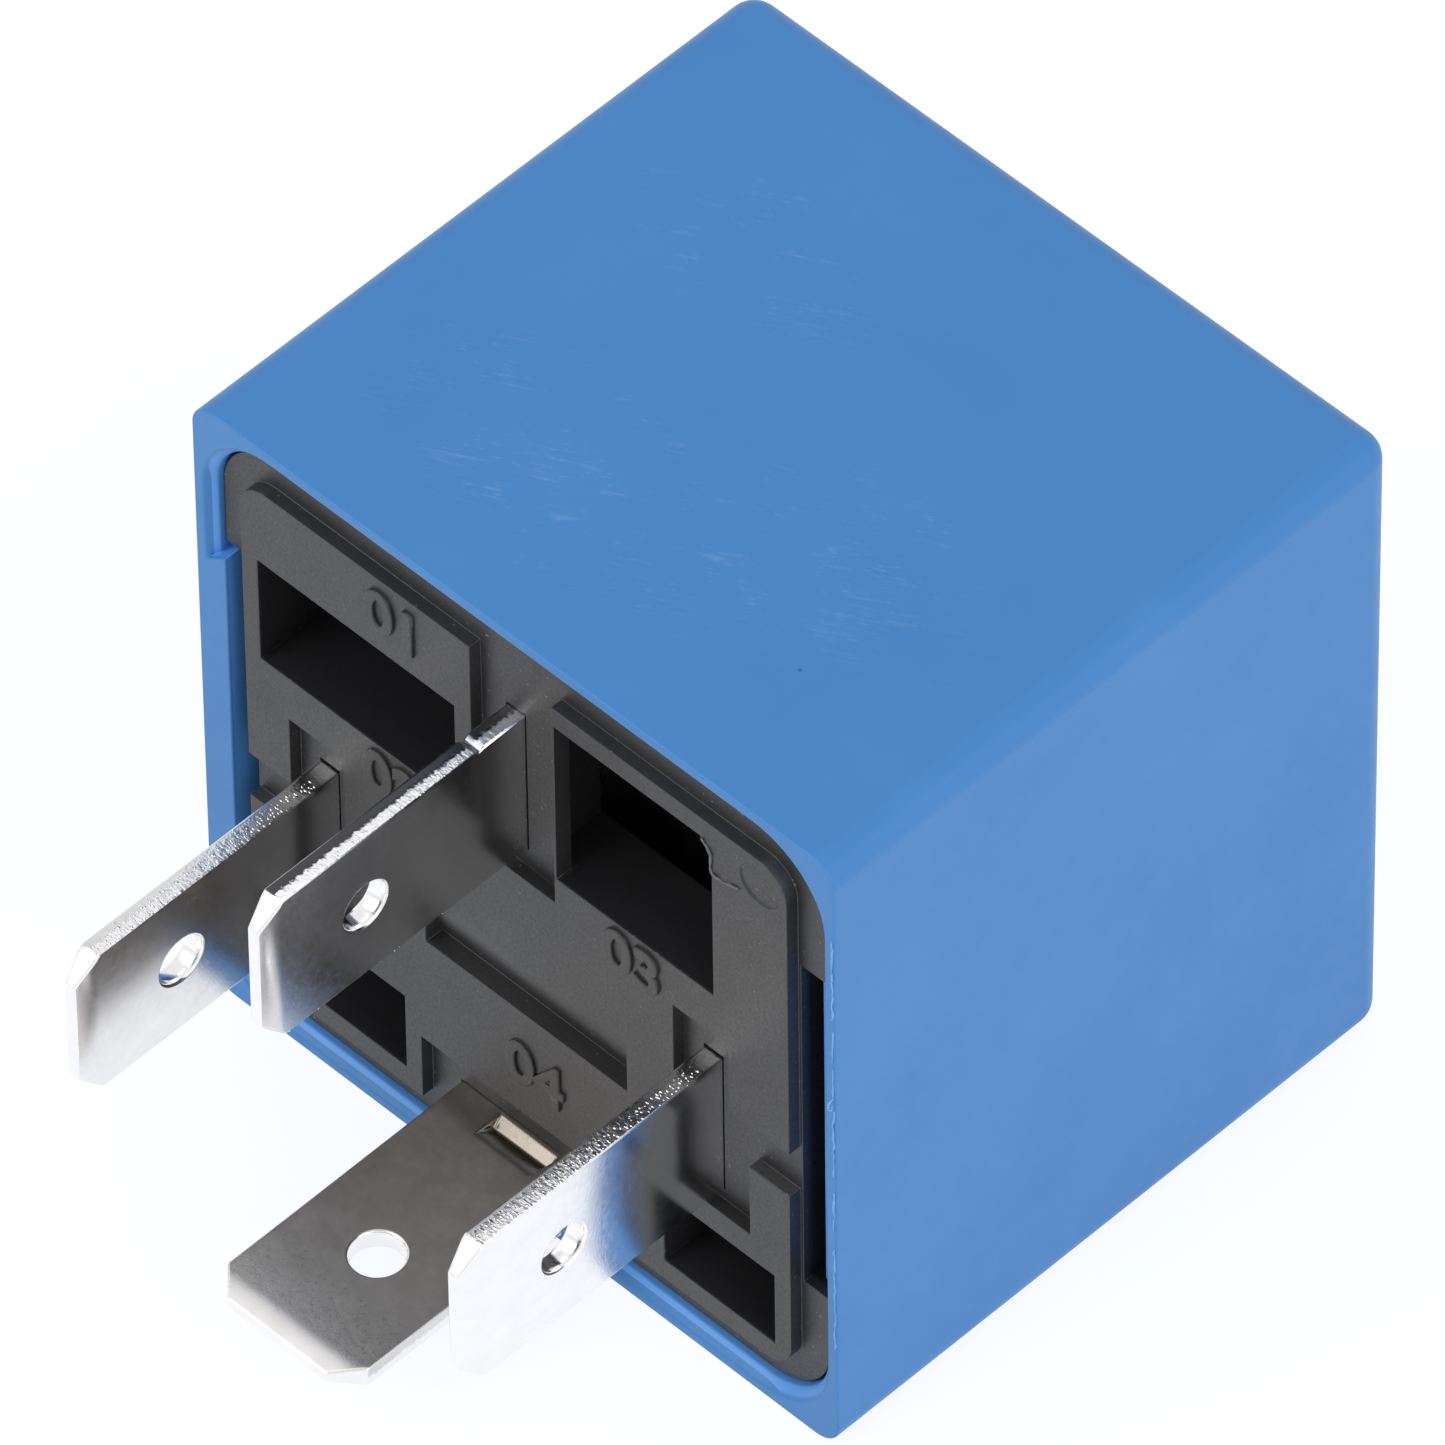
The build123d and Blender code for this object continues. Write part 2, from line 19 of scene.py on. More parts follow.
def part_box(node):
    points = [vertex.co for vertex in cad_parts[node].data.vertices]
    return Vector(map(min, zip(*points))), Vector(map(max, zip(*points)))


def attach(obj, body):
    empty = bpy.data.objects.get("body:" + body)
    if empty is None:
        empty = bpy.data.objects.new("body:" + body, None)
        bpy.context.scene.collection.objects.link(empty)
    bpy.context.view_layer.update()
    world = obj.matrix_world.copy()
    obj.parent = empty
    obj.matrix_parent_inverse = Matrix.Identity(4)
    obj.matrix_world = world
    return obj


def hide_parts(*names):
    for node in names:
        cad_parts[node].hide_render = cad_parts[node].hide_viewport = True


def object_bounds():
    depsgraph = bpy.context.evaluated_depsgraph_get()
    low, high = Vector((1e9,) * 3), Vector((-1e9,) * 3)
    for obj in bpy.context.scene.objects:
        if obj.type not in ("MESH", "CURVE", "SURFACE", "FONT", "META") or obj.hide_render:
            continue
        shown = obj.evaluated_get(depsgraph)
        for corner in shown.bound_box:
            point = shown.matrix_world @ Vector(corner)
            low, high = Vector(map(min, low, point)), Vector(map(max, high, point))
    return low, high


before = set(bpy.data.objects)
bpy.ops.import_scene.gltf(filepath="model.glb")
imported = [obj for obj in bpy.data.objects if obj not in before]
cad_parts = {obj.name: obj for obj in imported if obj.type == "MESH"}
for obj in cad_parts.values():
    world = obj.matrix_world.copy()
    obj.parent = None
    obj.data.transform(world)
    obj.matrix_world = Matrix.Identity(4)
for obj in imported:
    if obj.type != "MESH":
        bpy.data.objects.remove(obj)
CAD_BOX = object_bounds()

LOG = logging.getLogger("relay")
MM = 0.001
HOUSING = "housing"
MOVING = "armature_assembly"
ARMATURE_TILT = math.radians(2.3)
# marks on the blades; the third also carries painted reflection and the fourth painted shade
MARKS = ("across", "sheared", "burnish_and_reflection", "tarnish_and_shade")
Pair = tuple[float, float]
Triple = tuple[float, float, float]
Colour = tuple[float, float, float]
Patch = tuple[Triple, Triple]
Value = NodeSocket | float
Tint = NodeSocket | Colour


def mm(*sizes: float) -> tuple[float, ...]:
    """Millimetres as metres."""
    return tuple(size * MM for size in sizes)


# ------------------------------------------------------------------ shader helpers


@dataclass(frozen=True)
class Grain:
    """Noise of one scale: cells per metre, octaves, and how strong the finer octaves are."""

    scale: float
    detail: float = 3.0
    roughness: float = 0.5


@dataclass(frozen=True)
class Mottle(Grain):
    """A grain whose range from low to high is spread from least to most, and clamped."""

    low: float = 0.3
    high: float = 0.7
    least: float = 0.0
    most: float = 1.0


@dataclass(frozen=True)
class Relief(Grain):
    """A grain that stands as bump, depth metres from its lowest to its highest."""

    depth: float = 0.003 * MM


@dataclass
class Wiring:
    """A shader's node tree, with short calls for the nodes that the finishes share."""

    tree: NodeTree

    def node(self, kind: str, **settings: object) -> Node:
        """Add a node.

        Args:
            kind: the node's type name, without the ShaderNode prefix.
            settings: attributes to set on it.

        Returns:
            The new node.
        """
        made = self.tree.nodes.new(f"ShaderNode{kind}")
        for name, value in settings.items():
            setattr(made, name, value)
        return made

    def join(self, source: NodeSocket, target: NodeSocket) -> None:
        """Link one socket to another."""
        self.tree.links.new(source, target)

    def place(self, stretch: Triple = (1.0, 1.0, 1.0), turn: Triple = (0.0, 0.0, 0.0),
              at: Triple = (0.0, 0.0, 0.0)) -> NodeSocket:
        """Object coordinates in a frame of their own.

        Args:
            stretch: how many times longer the pattern is along each of the frame's axes.
            turn: the frame's rotation, in radians.
            at: the frame's origin, in metres.

        Returns:
            The vector socket.
        """
        source = self.node("TexCoord")
        mapping = self.node("Mapping", vector_type="TEXTURE")
        mapping.inputs["Location"].default_value = at
        mapping.inputs["Rotation"].default_value = turn
        mapping.inputs["Scale"].default_value = stretch
        self.join(source.outputs["Object"], mapping.inputs["Vector"])
        return mapping.outputs["Vector"]

    def split(self, vector: NodeSocket) -> NodeOutputs:
        """Separate a vector.

        Args:
            vector: the vector's socket.

        Returns:
            The sockets of its parts, by the name of their axis.
        """
        parts = self.node("SeparateXYZ")
        self.join(vector, parts.inputs["Vector"])
        return parts.outputs

    def noise(self, vector: NodeSocket, grain: Grain) -> NodeSocket:
        """Noise of one scale.

        Args:
            vector: where it is read.
            grain: its scale and octaves.

        Returns:
            The factor socket.
        """
        made = self.node("TexNoise")
        made.inputs["Scale"].default_value = grain.scale
        made.inputs["Detail"].default_value = grain.detail
        made.inputs["Roughness"].default_value = grain.roughness
        self.join(vector, made.inputs["Vector"])
        return made.outputs["Fac"]

    def ramp(self, value: NodeSocket, low: float, high: float,
             least: float = 0.0, most: float = 1.0) -> NodeSocket:
        """Map a range of values onto another, clamped.

        Args:
            value: the value to map.
            low: input that gives least.
            high: input that gives most.
            least: result at low.
            most: result at high.

        Returns:
            The mapped value's socket.
        """
        made = self.node("MapRange", clamp=True)
        sizes = {"From Min": low, "From Max": high, "To Min": least, "To Max": most}
        for name, number in sizes.items():
            made.inputs[name].default_value = number
        self.join(value, made.inputs["Value"])
        return made.outputs["Result"]

    def mottle(self, vector: NodeSocket, look: Mottle) -> NodeSocket:
        """Noise spread between a mottle's two values."""
        return self.ramp(self.noise(vector, look), look.low, look.high, look.least, look.most)

    def maths(self, operation: str, a: Value, b: Value) -> NodeSocket:
        """Combine two values.

        Args:
            operation: the Math node's operation.
            a: first value or socket.
            b: second value or socket.

        Returns:
            The result's socket.
        """
        made = self.node("Math", operation=operation)
        for socket, value in zip(made.inputs, (a, b)):
            if isinstance(value, (int, float)):
                socket.default_value = value
            else:
                self.join(value, socket)
        return made.outputs["Value"]

    def plus(self, a: Value, b: Value) -> NodeSocket:
        """The sum of two values."""
        return self.maths("ADD", a, b)

    def times(self, a: Value, b: Value) -> NodeSocket:
        """The product of two values."""
        return self.maths("MULTIPLY", a, b)

    def spot(self, centre: Triple, reach: Triple) -> NodeSocket:
        """A soft blob: 1 at the centre, 0 at its reach.

        Args:
            centre: its centre, in metres.
            reach: its half sizes, in metres.

        Returns:
            The factor socket.
        """
        blob = self.node("TexGradient", gradient_type="SPHERICAL")
        self.join(self.place(stretch=reach, at=centre), blob.inputs["Vector"])
        return blob.outputs["Fac"]

    def inside(self, centre: Triple, reach: Triple) -> NodeSocket:
        """1 inside an upright box and 0 outside it, whatever the depth along Y.

        Args:
            centre: its centre, in metres.
            reach: its half sizes, in metres.

        Returns:
            The factor socket.
        """
        size = self.node("VectorMath", operation="ABSOLUTE")
        self.join(self.place(stretch=reach, at=centre), size.inputs[0])
        parts = self.split(size.outputs["Vector"])
        return self.maths("LESS_THAN", self.maths("MAXIMUM", parts["X"], parts["Z"]), 1.0)

    def mix(self, factor: NodeSocket, a: Tint, b: Tint) -> NodeSocket:
        """Blend two colours.

        Args:
            factor: 0 gives a and 1 gives b.
            a: first colour or socket.
            b: second colour or socket.

        Returns:
            The colour socket.
        """
        made = self.node("Mix", data_type="RGBA")
        self.join(factor, made.inputs[0])
        for socket, value in ((made.inputs[6], a), (made.inputs[7], b)):
            if isinstance(value, tuple):
                socket.default_value = (*value, 1.0)
            else:
                self.join(value, socket)
        return made.outputs[2]

    def bump(self, height: NodeSocket, depth: float, under: NodeSocket | None = None) -> NodeSocket:
        """Bump from a height.

        Args:
            height: height from 0 to 1.
            depth: metres between 0 and 1.
            under: a normal to start from.

        Returns:
            The normal socket.
        """
        made = self.node("Bump")
        made.inputs["Distance"].default_value = depth
        self.join(height, made.inputs["Height"])
        if under is not None:
            self.join(under, made.inputs["Normal"])
        return made.outputs["Normal"]

    def relief(self, vector: NodeSocket, look: Relief,
               under: NodeSocket | None = None) -> NodeSocket:
        """Bump from one grain."""
        return self.bump(self.noise(vector, look), look.depth, under)


def new_material(name: str) -> tuple[Material, Wiring, Node]:
    """Start a material.

    Args:
        name: the material's name.

    Returns:
        The material, its wiring and its Principled node.
    """
    material = bpy.data.materials.new(name)
    material.use_nodes = True
    return material, Wiring(material.node_tree), material.node_tree.nodes["Principled BSDF"]


# ------------------------------------------------------------------ finishes


@dataclass(frozen=True)
class CoverPlastic:
    """Satin blue moulded plastic: a faint cloud, a fine grain, scuffs on its upper side, and a
    painted glow inside its mouth.
    """

    name: str = "cover_plastic"
    colour: Colour = (0.045, 0.212, 0.530)
    deep: Colour = (0.038, 0.198, 0.508)
    cloud: Mottle = Mottle(160.0, 4.0, 0.6, 0.35, 0.68)
    rough: Mottle = Mottle(1400.0, least=0.39, most=0.46)
    skin: Relief = Relief(8000.0, 2.0, depth=0.0022 * MM)
    ior: float = 1.46
    # painted light: a lighter blue on the walls inside the mouth, behind the rim, stands in for
    # light bounced and scattered into the gap
    painted_mouth_glow: Colour = (0.10, 0.33, 0.80)
    mouth: Patch = ((0.0, 0.0, 0.0), mm(13.4, 1000.0, 13.3))
    behind_rim: Pair = mm(0.04, 0.14)
    scuff: Colour = (0.17, 0.36, 0.64)
    scuff_tint: float = 0.36
    scuff_rough: float = 0.14
    streak_turn: Triple = (0.0, 0.0, math.radians(29.0))
    long_streaks: Mottle = Mottle(6500.0, 2.0, 0.6, 0.56, 0.68)
    long_stretch: Triple = (16.0, 1.0, 1.0)
    short_streaks: Mottle = Mottle(9000.0, 2.0, 0.6, 0.56, 0.68)
    short_stretch: Triple = (5.0, 1.0, 1.0)
    streak_breaks: Mottle = Mottle(700.0, 4.0, 0.75, 0.48, 0.64)
    scuffed: tuple[Patch, ...] = (
        (mm(-3.5, 6.0, 13.9), mm(10.5, 5.0, 1.5)),
        (mm(-5.3, 16.9, 13.9), mm(6.0, 3.6, 1.5)),
        (mm(4.5, 9.0, 13.9), mm(8.0, 5.0, 1.5)),
    )
    scuffed_edge: float = 0.5
    scuffed_elsewhere: float = 0.04
    dirt: Colour = (0.025, 0.11, 0.30)
    speck: Patch = (mm(7.48, 5.19, 13.9), mm(0.11, 0.11, 0.11))
    speck_edge: Pair = (0.1, 0.5)

    def scuffs(self, wires: Wiring) -> NodeSocket:
        """Short fine streaks, mostly within the scuffed patches.

        Args:
            wires: the material's wiring.

        Returns:
            The factor socket.
        """
        long = wires.mottle(wires.place(self.long_stretch, self.streak_turn), self.long_streaks)
        short = wires.mottle(wires.place(self.short_stretch, self.streak_turn), self.short_streaks)
        broken = wires.mottle(wires.place(), self.streak_breaks)
        patch = 0.0
        for centre, reach in self.scuffed:
            patch = wires.maths("MAXIMUM", patch, wires.spot(centre, reach))
        worn = wires.ramp(patch, 0.0, self.scuffed_edge, self.scuffed_elsewhere)
        return wires.times(wires.times(wires.maths("MAXIMUM", long, short), broken), worn)

    def material(self) -> Material:
        """Build the material.

        Returns:
            The new material.
        """
        material, wires, shader = new_material(self.name)
        plain = wires.place()
        # painted glow: the walls inside the mouth, behind the rim, are tinted lighter to stand for
        # light that falls into the gap
        behind_rim = wires.ramp(wires.split(plain)["Y"], *self.behind_rim)
        painted_glow_area = wires.times(wires.inside(*self.mouth), behind_rim)
        blue = wires.mix(wires.mottle(plain, self.cloud), self.deep, self.colour)
        tint = wires.mix(painted_glow_area, blue, self.painted_mouth_glow)
        scuffs = self.scuffs(wires)
        worn = wires.mix(wires.times(scuffs, self.scuff_tint), tint, self.scuff)
        speck = wires.ramp(wires.spot(*self.speck), *self.speck_edge)
        wires.join(wires.mix(speck, worn, self.dirt), shader.inputs["Base Color"])
        rough = wires.plus(wires.mottle(plain, self.rough), wires.times(scuffs, self.scuff_rough))
        wires.join(rough, shader.inputs["Roughness"])
        shader.inputs["IOR"].default_value = self.ior
        wires.join(wires.relief(plain, self.skin), shader.inputs["Normal"])
        return material


@dataclass(frozen=True)
class BasePlastic:
    """Black glass-filled plastic with a spark-eroded skin and pale specks, and painted shade deep
    in its windows and recesses.
    """

    name: str = "base_plastic"
    colour: Colour = (0.014, 0.014, 0.015)
    pale: Colour = (0.024, 0.024, 0.026)
    cloud: Mottle = Mottle(420.0, 4.0, 0.65, 0.3, 0.72)
    speck: Colour = (0.16, 0.16, 0.17)
    specks: Mottle = Mottle(7000.0, 1.0, low=0.73, high=0.80)
    rough: Mottle = Mottle(8000.0, least=0.38, most=0.56)
    coarse: Relief = Relief(8500.0, 2.0, depth=0.007 * MM)
    fine: Relief = Relief(18000.0, 2.0, depth=0.003 * MM)
    ior: float = 1.62
    # painted shade: past a depth behind the plug face, and sooner inside the windows, the colour
    # darkens and the shine drops to stand for the shadow in those hollows
    painted_shade: Colour = (0.019, 0.018, 0.020)
    shine: float = 0.5
    painted_shade_shine: float = 0.05
    shade_from_depth: Pair = mm(0.75, 0.95)
    window_shade_from_depth: Pair = mm(0.04, 0.12)
    windows: tuple[Patch, ...] = (
        (mm(-6.9, 0.0, 6.175), mm(4.37, 1000.0, 2.345)),
        (mm(5.35, 0.0, 7.4), mm(3.37, 1000.0, 3.62)),
        (mm(-8.2, 0.0, -9.225), mm(3.07, 1000.0, 1.745)),
        (mm(8.8, 0.0, -9.3), mm(2.47, 1000.0, 1.67)),
    )

    def material(self) -> Material:
        """Build the material.

        Returns:
            The new material.
        """
        material, wires, shader = new_material(self.name)
        plain = wires.place()
        tint = wires.mix(wires.mottle(plain, self.cloud), self.colour, self.pale)
        specked = wires.mix(wires.mottle(plain, self.specks), tint, self.speck)
        # painted shade: darker and less shiny by depth along Y, and inside the window patches from
        # a shallower depth
        depth = wires.split(plain)["Y"]
        deep = wires.ramp(depth, *self.shade_from_depth)
        window_shade = wires.ramp(depth, *self.window_shade_from_depth)
        for centre, reach in self.windows:
            shaded_walls = wires.times(window_shade, wires.inside(centre, reach))
            deep = wires.maths("MAXIMUM", deep, shaded_walls)
        wires.join(wires.mix(deep, specked, self.painted_shade), shader.inputs["Base Color"])
        shine = wires.ramp(deep, 0.0, 1.0, self.shine, self.painted_shade_shine)
        wires.join(shine, shader.inputs["Specular IOR Level"])
        wires.join(wires.mottle(plain, self.rough), shader.inputs["Roughness"])
        shader.inputs["IOR"].default_value = self.ior
        coarse = wires.relief(plain, self.coarse)
        wires.join(wires.relief(plain, self.fine, coarse), shader.inputs["Normal"])
        return material


@dataclass(frozen=True)
class TinPlate:
    """Bright tin over brass: a finely specked face, and cut edges part burnished and part torn.

    The attribute across runs from -1 to 1 over a blade's thickness, sheared is 1 on its cut edges,
    the third mark is how much of the cut is smooth and darkened by painted reflection, and the
    fourth is how dull the face is and how much painted shade darkens it.
    """

    name: str = "tinned_blade"
    colour: Colour = (0.95, 0.94, 0.945)
    dull: Colour = (0.90, 0.885, 0.88)
    cloud: Mottle = Mottle(900.0)
    # tarnish and painted shade: a darker, warmer tone on the faces, part real tarnish and part
    # painted reflection that darkens towards the root
    tarnish_and_shade_tone: Colour = (0.46, 0.425, 0.395)
    blotches: Mottle = Mottle(1300.0, 5.0, 0.7, 0.36, 0.64, 0.84, 1.12)
    # painted reflection: a near-black metal colour on the smooth part of a cut edge, standing for
    # the dark parts it mirrors
    painted_cut_reflection: Colour = (0.08, 0.08, 0.088)
    ragged: Mottle = Mottle(6500.0, 2.0, 0.5, 0.25, 0.75, -0.22, 0.22)
    burnished_from: Pair = (0.15, -0.05)
    torn_from: Pair = (-0.3, 0.1)
    torn_wider: float = 0.45
    warm: Colour = (0.22, 0.195, 0.165)
    dimple: Patch = (mm(0.0, 0.2, -10.6), mm(1.9, 0.8, 0.8))
    dimple_edge: float = 0.3
    roughness: float = 0.14
    tarnished_roughness: float = 0.38
    sheared_rougher: float = 0.18
    dimple_rougher: float = 0.12
    smudges: Mottle = Mottle(5200.0, 3.0, 0.6, 0.35, 0.70, -0.02, 0.04)
    skin: Relief = Relief(15000.0, 2.0, depth=0.0016 * MM)
    pits: Mottle = Mottle(6500.0, 1.0, low=0.79, high=0.84)
    pit_depth: float = 0.0014 * MM
    grooves: Grain = Grain(6500.0, 2.0, 0.6)
    groove_stretch: Triple = (2.5, 1.0, 2.5)
    groove_depth: float = 0.045 * MM

    def material(self) -> Material:
        """Build the material.

        Returns:
            The new material.
        """
        material, wires, shader = new_material(self.name)
        plain = wires.place()
        marks = (wires.node("Attribute", attribute_name=name).outputs["Fac"] for name in MARKS)
        across, sheared, burnish_and_reflection, tarnish_and_shade = marks
        ragged = wires.plus(across, wires.mottle(plain, self.ragged))
        # painted reflection: the smooth part of each cut edge is darkened as if mirroring dark
        # surroundings
        smooth = wires.times(burnish_and_reflection, wires.ramp(ragged, *self.burnished_from))
        wider = wires.plus(ragged, self.torn_wider)
        shift = wires.maths("SUBTRACT", wider, wires.times(burnish_and_reflection, self.torn_wider))
        torn = wires.times(sheared, wires.ramp(shift, *self.torn_from))
        bright = wires.mix(wires.mottle(plain, self.cloud), self.dull, self.colour)
        # tarnish and painted shade: the face takes the darker tone where the mark is set
        stained_and_shaded = wires.times(tarnish_and_shade, wires.mottle(plain, self.blotches))
        face = wires.mix(stained_and_shaded, bright, self.tarnish_and_shade_tone)
        pressed = wires.ramp(wires.spot(*self.dimple), 0.0, self.dimple_edge)
        tint = wires.mix(pressed, wires.mix(smooth, face, self.painted_cut_reflection), self.warm)
        wires.join(tint, shader.inputs["Base Color"])
        shader.inputs["Metallic"].default_value = 1.0
        worn = wires.ramp(tarnish_and_shade, 0.0, 1.0, self.roughness, self.tarnished_roughness)
        rough = wires.plus(wires.mottle(plain, self.smudges), worn)
        for where, rougher in ((sheared, self.sheared_rougher), (pressed, self.dimple_rougher)):
            rough = wires.plus(rough, wires.times(where, rougher))
        wires.join(rough, shader.inputs["Roughness"])
        skin = wires.relief(plain, self.skin)
        pitted = wires.bump(wires.mottle(plain, self.pits), self.pit_depth, skin)
        grooves = wires.times(wires.noise(wires.place(self.groove_stretch), self.grooves), torn)
        wires.join(wires.bump(grooves, self.groove_depth, pitted), shader.inputs["Normal"])
        return material


@dataclass(frozen=True)
class PlainMetal:
    """Satin metal with a cloudy tone and fine rolling lines."""

    name: str
    colour: Colour
    dull: Colour
    roughness: float
    line_depth: float = 0.004 * MM
    lines: Grain = Grain(6000.0, 2.0)
    line_stretch: Triple = (1.0, 20.0, 1.0)
    cloud: Mottle = Mottle(500.0, 4.0, 0.6)
    uneven: Mottle = Mottle(2000.0, least=-0.06, most=0.08)

    def material(self) -> Material:
        """Build the material.

        Returns:
            The new material.
        """
        material, wires, shader = new_material(self.name)
        plain = wires.place()
        tint = wires.mix(wires.mottle(plain, self.cloud), self.dull, self.colour)
        wires.join(tint, shader.inputs["Base Color"])
        shader.inputs["Metallic"].default_value = 1.0
        rough = wires.plus(wires.mottle(plain, self.uneven), self.roughness)
        wires.join(rough, shader.inputs["Roughness"])
        rolled = wires.noise(wires.place(self.line_stretch), self.lines)
        wires.join(wires.bump(rolled, self.line_depth), shader.inputs["Normal"])
        return material


@dataclass(frozen=True)
class PlainPlastic:
    """Moulded plastic or film with a faint cloud and grain."""

    name: str
    colour: Colour
    deep: Colour
    roughness: float
    coat: float = 0.0
    cloud: Mottle = Mottle(350.0, 4.0, 0.6)
    uneven: Mottle = Mottle(2200.0, least=-0.05, most=0.07)
    skin: Relief = Relief(5000.0, 2.0)

    def material(self) -> Material:
        """Build the material.

        Returns:
            The new material.
        """
        material, wires, shader = new_material(self.name)
        plain = wires.place()
        tint = wires.mix(wires.mottle(plain, self.cloud), self.deep, self.colour)
        wires.join(tint, shader.inputs["Base Color"])
        rough = wires.plus(wires.mottle(plain, self.uneven), self.roughness)
        wires.join(rough, shader.inputs["Roughness"])
        shader.inputs["Coat Weight"].default_value = self.coat
        wires.join(wires.relief(plain, self.skin), shader.inputs["Normal"])
        return material


class Slot(Enum):
    """The record's material slots."""

    COVER = "cover_plastic"
    BASE = "base_plastic"
    BLADE = "tinned_blade"
    IRON = "soft_iron"
    SPRING = "spring_copper"
    SILVER = "silver_contact"
    BOBBIN = "bobbin_plastic"
    COPPER = "coil_copper"
    TAPE = "coil_tape"
    SOLDER = "solder"


FINISHES = {
    Slot.COVER: CoverPlastic(),
    Slot.BASE: BasePlastic(),
    Slot.BLADE: TinPlate(),
    Slot.IRON: PlainMetal("soft_iron", (0.50, 0.49, 0.46), (0.40, 0.39, 0.37), 0.36),
    Slot.SPRING: PlainMetal("spring_copper", (0.83, 0.52, 0.33), (0.70, 0.42, 0.26), 0.28),
    Slot.SILVER: PlainMetal("silver_contact", (0.86, 0.85, 0.82), (0.74, 0.73, 0.70), 0.24),
    Slot.BOBBIN: PlainPlastic("bobbin_plastic", (0.60, 0.57, 0.50), (0.53, 0.50, 0.43), 0.5),
    Slot.COPPER: PlainMetal("coil_copper", (0.72, 0.30, 0.14), (0.58, 0.22, 0.10), 0.24),
    Slot.TAPE: PlainPlastic("coil_tape", (0.50, 0.31, 0.05), (0.42, 0.25, 0.04), 0.22, 0.4),
    Slot.SOLDER: PlainMetal("solder", (0.66, 0.66, 0.64), (0.54, 0.54, 0.53), 0.3, 0.008 * MM),
}


class Palette:
    """Builds each finish once and hands it out."""

    def __init__(self) -> None:
        """Start with no material built."""
        self.made: dict[Slot, Material] = {}

    def get(self, slot: Slot) -> Material:
        """The material of a slot, built on first use.

        Args:
            slot: the material slot.

        Returns:
            Its material.
        """
        if slot not in self.made:
            self.made[slot] = FINISHES[slot].material()
        return self.made[slot]


# ------------------------------------------------------------------ mesh helpers


def put(name: str, data: bpy.types.ID) -> Object:
    """Put a new object in the scene, at the origin.

    Args:
        name: the object's name.
        data: its mesh, curve, light or camera.

    Returns:
        The new object.
    """
    thing = bpy.data.objects.new(name, data)
    bpy.context.scene.collection.objects.link(thing)
    return thing


def baked(thing: Object) -> Mesh:
    """An object's evaluated mesh as a plain mesh, after which the object is removed.

    Args:
        thing: an object with live modifiers, or a text object.

    Returns:
        The new mesh, with the object's own placing applied.
    """
    bpy.context.view_layer.update()
    graph = bpy.context.evaluated_depsgraph_get()
    mesh = bpy.data.meshes.new_from_object(
        thing.evaluated_get(graph), preserve_all_data_layers=True, depsgraph=graph)
    mesh.transform(thing.matrix_world)
    bpy.data.objects.remove(thing)
    return mesh


def joined(meshes: Iterable[Mesh]) -> Mesh:
    """Several meshes as one.

    Args:
        meshes: the meshes to join.

    Returns:
        The new mesh, shaded smooth.
    """
    shape = bmesh.new()
    for mesh in meshes:
        shape.from_mesh(mesh)
    whole = bpy.data.meshes.new("joined")
    shape.to_mesh(whole)
    shape.free()
    whole.shade_smooth()
    return whole


def path_mesh(*runs: Sequence[Triple]) -> Mesh:
    """Runs of points joined by edges, for a tree that follows them.

    Args:
        runs: the points of each run, in metres.

    Returns:
        The new mesh.
    """
    points: list[Triple] = []
    edges: list[tuple[int, int]] = []
    for run in runs:
        first = len(points)
        points.extend(run)
        edges.extend((first + i, first + i + 1) for i in range(len(run) - 1))
    mesh = bpy.data.meshes.new("path")
    mesh.from_pydata(points, edges, [])
    return mesh


@dataclass(frozen=True)
class SoftEdges:
    """Rounds a CAD solid's sharp edges on a merged copy of its mesh."""

    width: float
    segments: int = 2
    sharper_than: float = math.radians(33.0)
    merged_within: float = 0.001 * MM
    flat_within: float = math.radians(0.6)

    def copy(self, node: str) -> Mesh:
        """The rounded copy.

        Args:
            node: the CAD node.

        Returns:
            A plain mesh with normals weighted by face area.
        """
        shape = bmesh.new()
        shape.from_mesh(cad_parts[node].data)
        bmesh.ops.remove_doubles(shape, verts=shape.verts, dist=self.merged_within)
        bmesh.ops.dissolve_limit(
            shape, angle_limit=self.flat_within, verts=shape.verts, edges=shape.edges)
        mesh = bpy.data.meshes.new(f"{node}_soft")
        shape.to_mesh(mesh)
        shape.free()
        mesh.materials.clear()
        mesh.shade_smooth()
        thing = put(f"{node}_soft", mesh)
        bevel = thing.modifiers.new("round", "BEVEL")
        bevel.width = self.width
        bevel.segments = self.segments
        bevel.limit_method = "ANGLE"
        bevel.angle_limit = self.sharper_than
        bevel.use_clamp_overlap = False
        weigh = thing.modifiers.new("weigh", "WEIGHTED_NORMAL")
        weigh.keep_sharp = True
        return baked(thing)


def dress(piece: Object, material: Material) -> None:
    """Give an object one material in place of what it has."""
    piece.data.materials.clear()
    piece.data.materials.append(material)


def dress_node(node: str, material: Material) -> None:
    """Give a CAD node one material."""
    dress(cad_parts[node], material)
    LOG.info("dressed %s", node)


def add_piece(name: str, mesh: Mesh, palette: Palette, slot: Slot, body: str = HOUSING,
              replaces: Iterable[str] = ()) -> Object:
    """Put a finished mesh in the scene as a piece of the object.

    Args:
        name: the piece's name.
        mesh: its mesh, in the frame's axes.
        palette: where its material comes from.
        slot: the material slot that it takes its finish from.
        body: the CAD body that it rides on.
        replaces: the CAD nodes that it stands for.

    Returns:
        The new object.
    """
    piece = put(name, mesh)
    dress(piece, palette.get(slot))
    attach(piece, body)
    if replaces:
        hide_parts(*replaces)
    LOG.info("piece %s: %d faces on %s", name, len(mesh.polygons), body)
    return piece


# ------------------------------------------------------------------ geometry node trees


class Seed(IntEnum):
    """The seeds of the trees' random draws."""

    FLASH_STRAY = 3
    CRUMB_STRAY = 5
    CRUMB_TURN = 7
    CRUMB_SIZE = 9
    FLASH_THICKNESS = 11


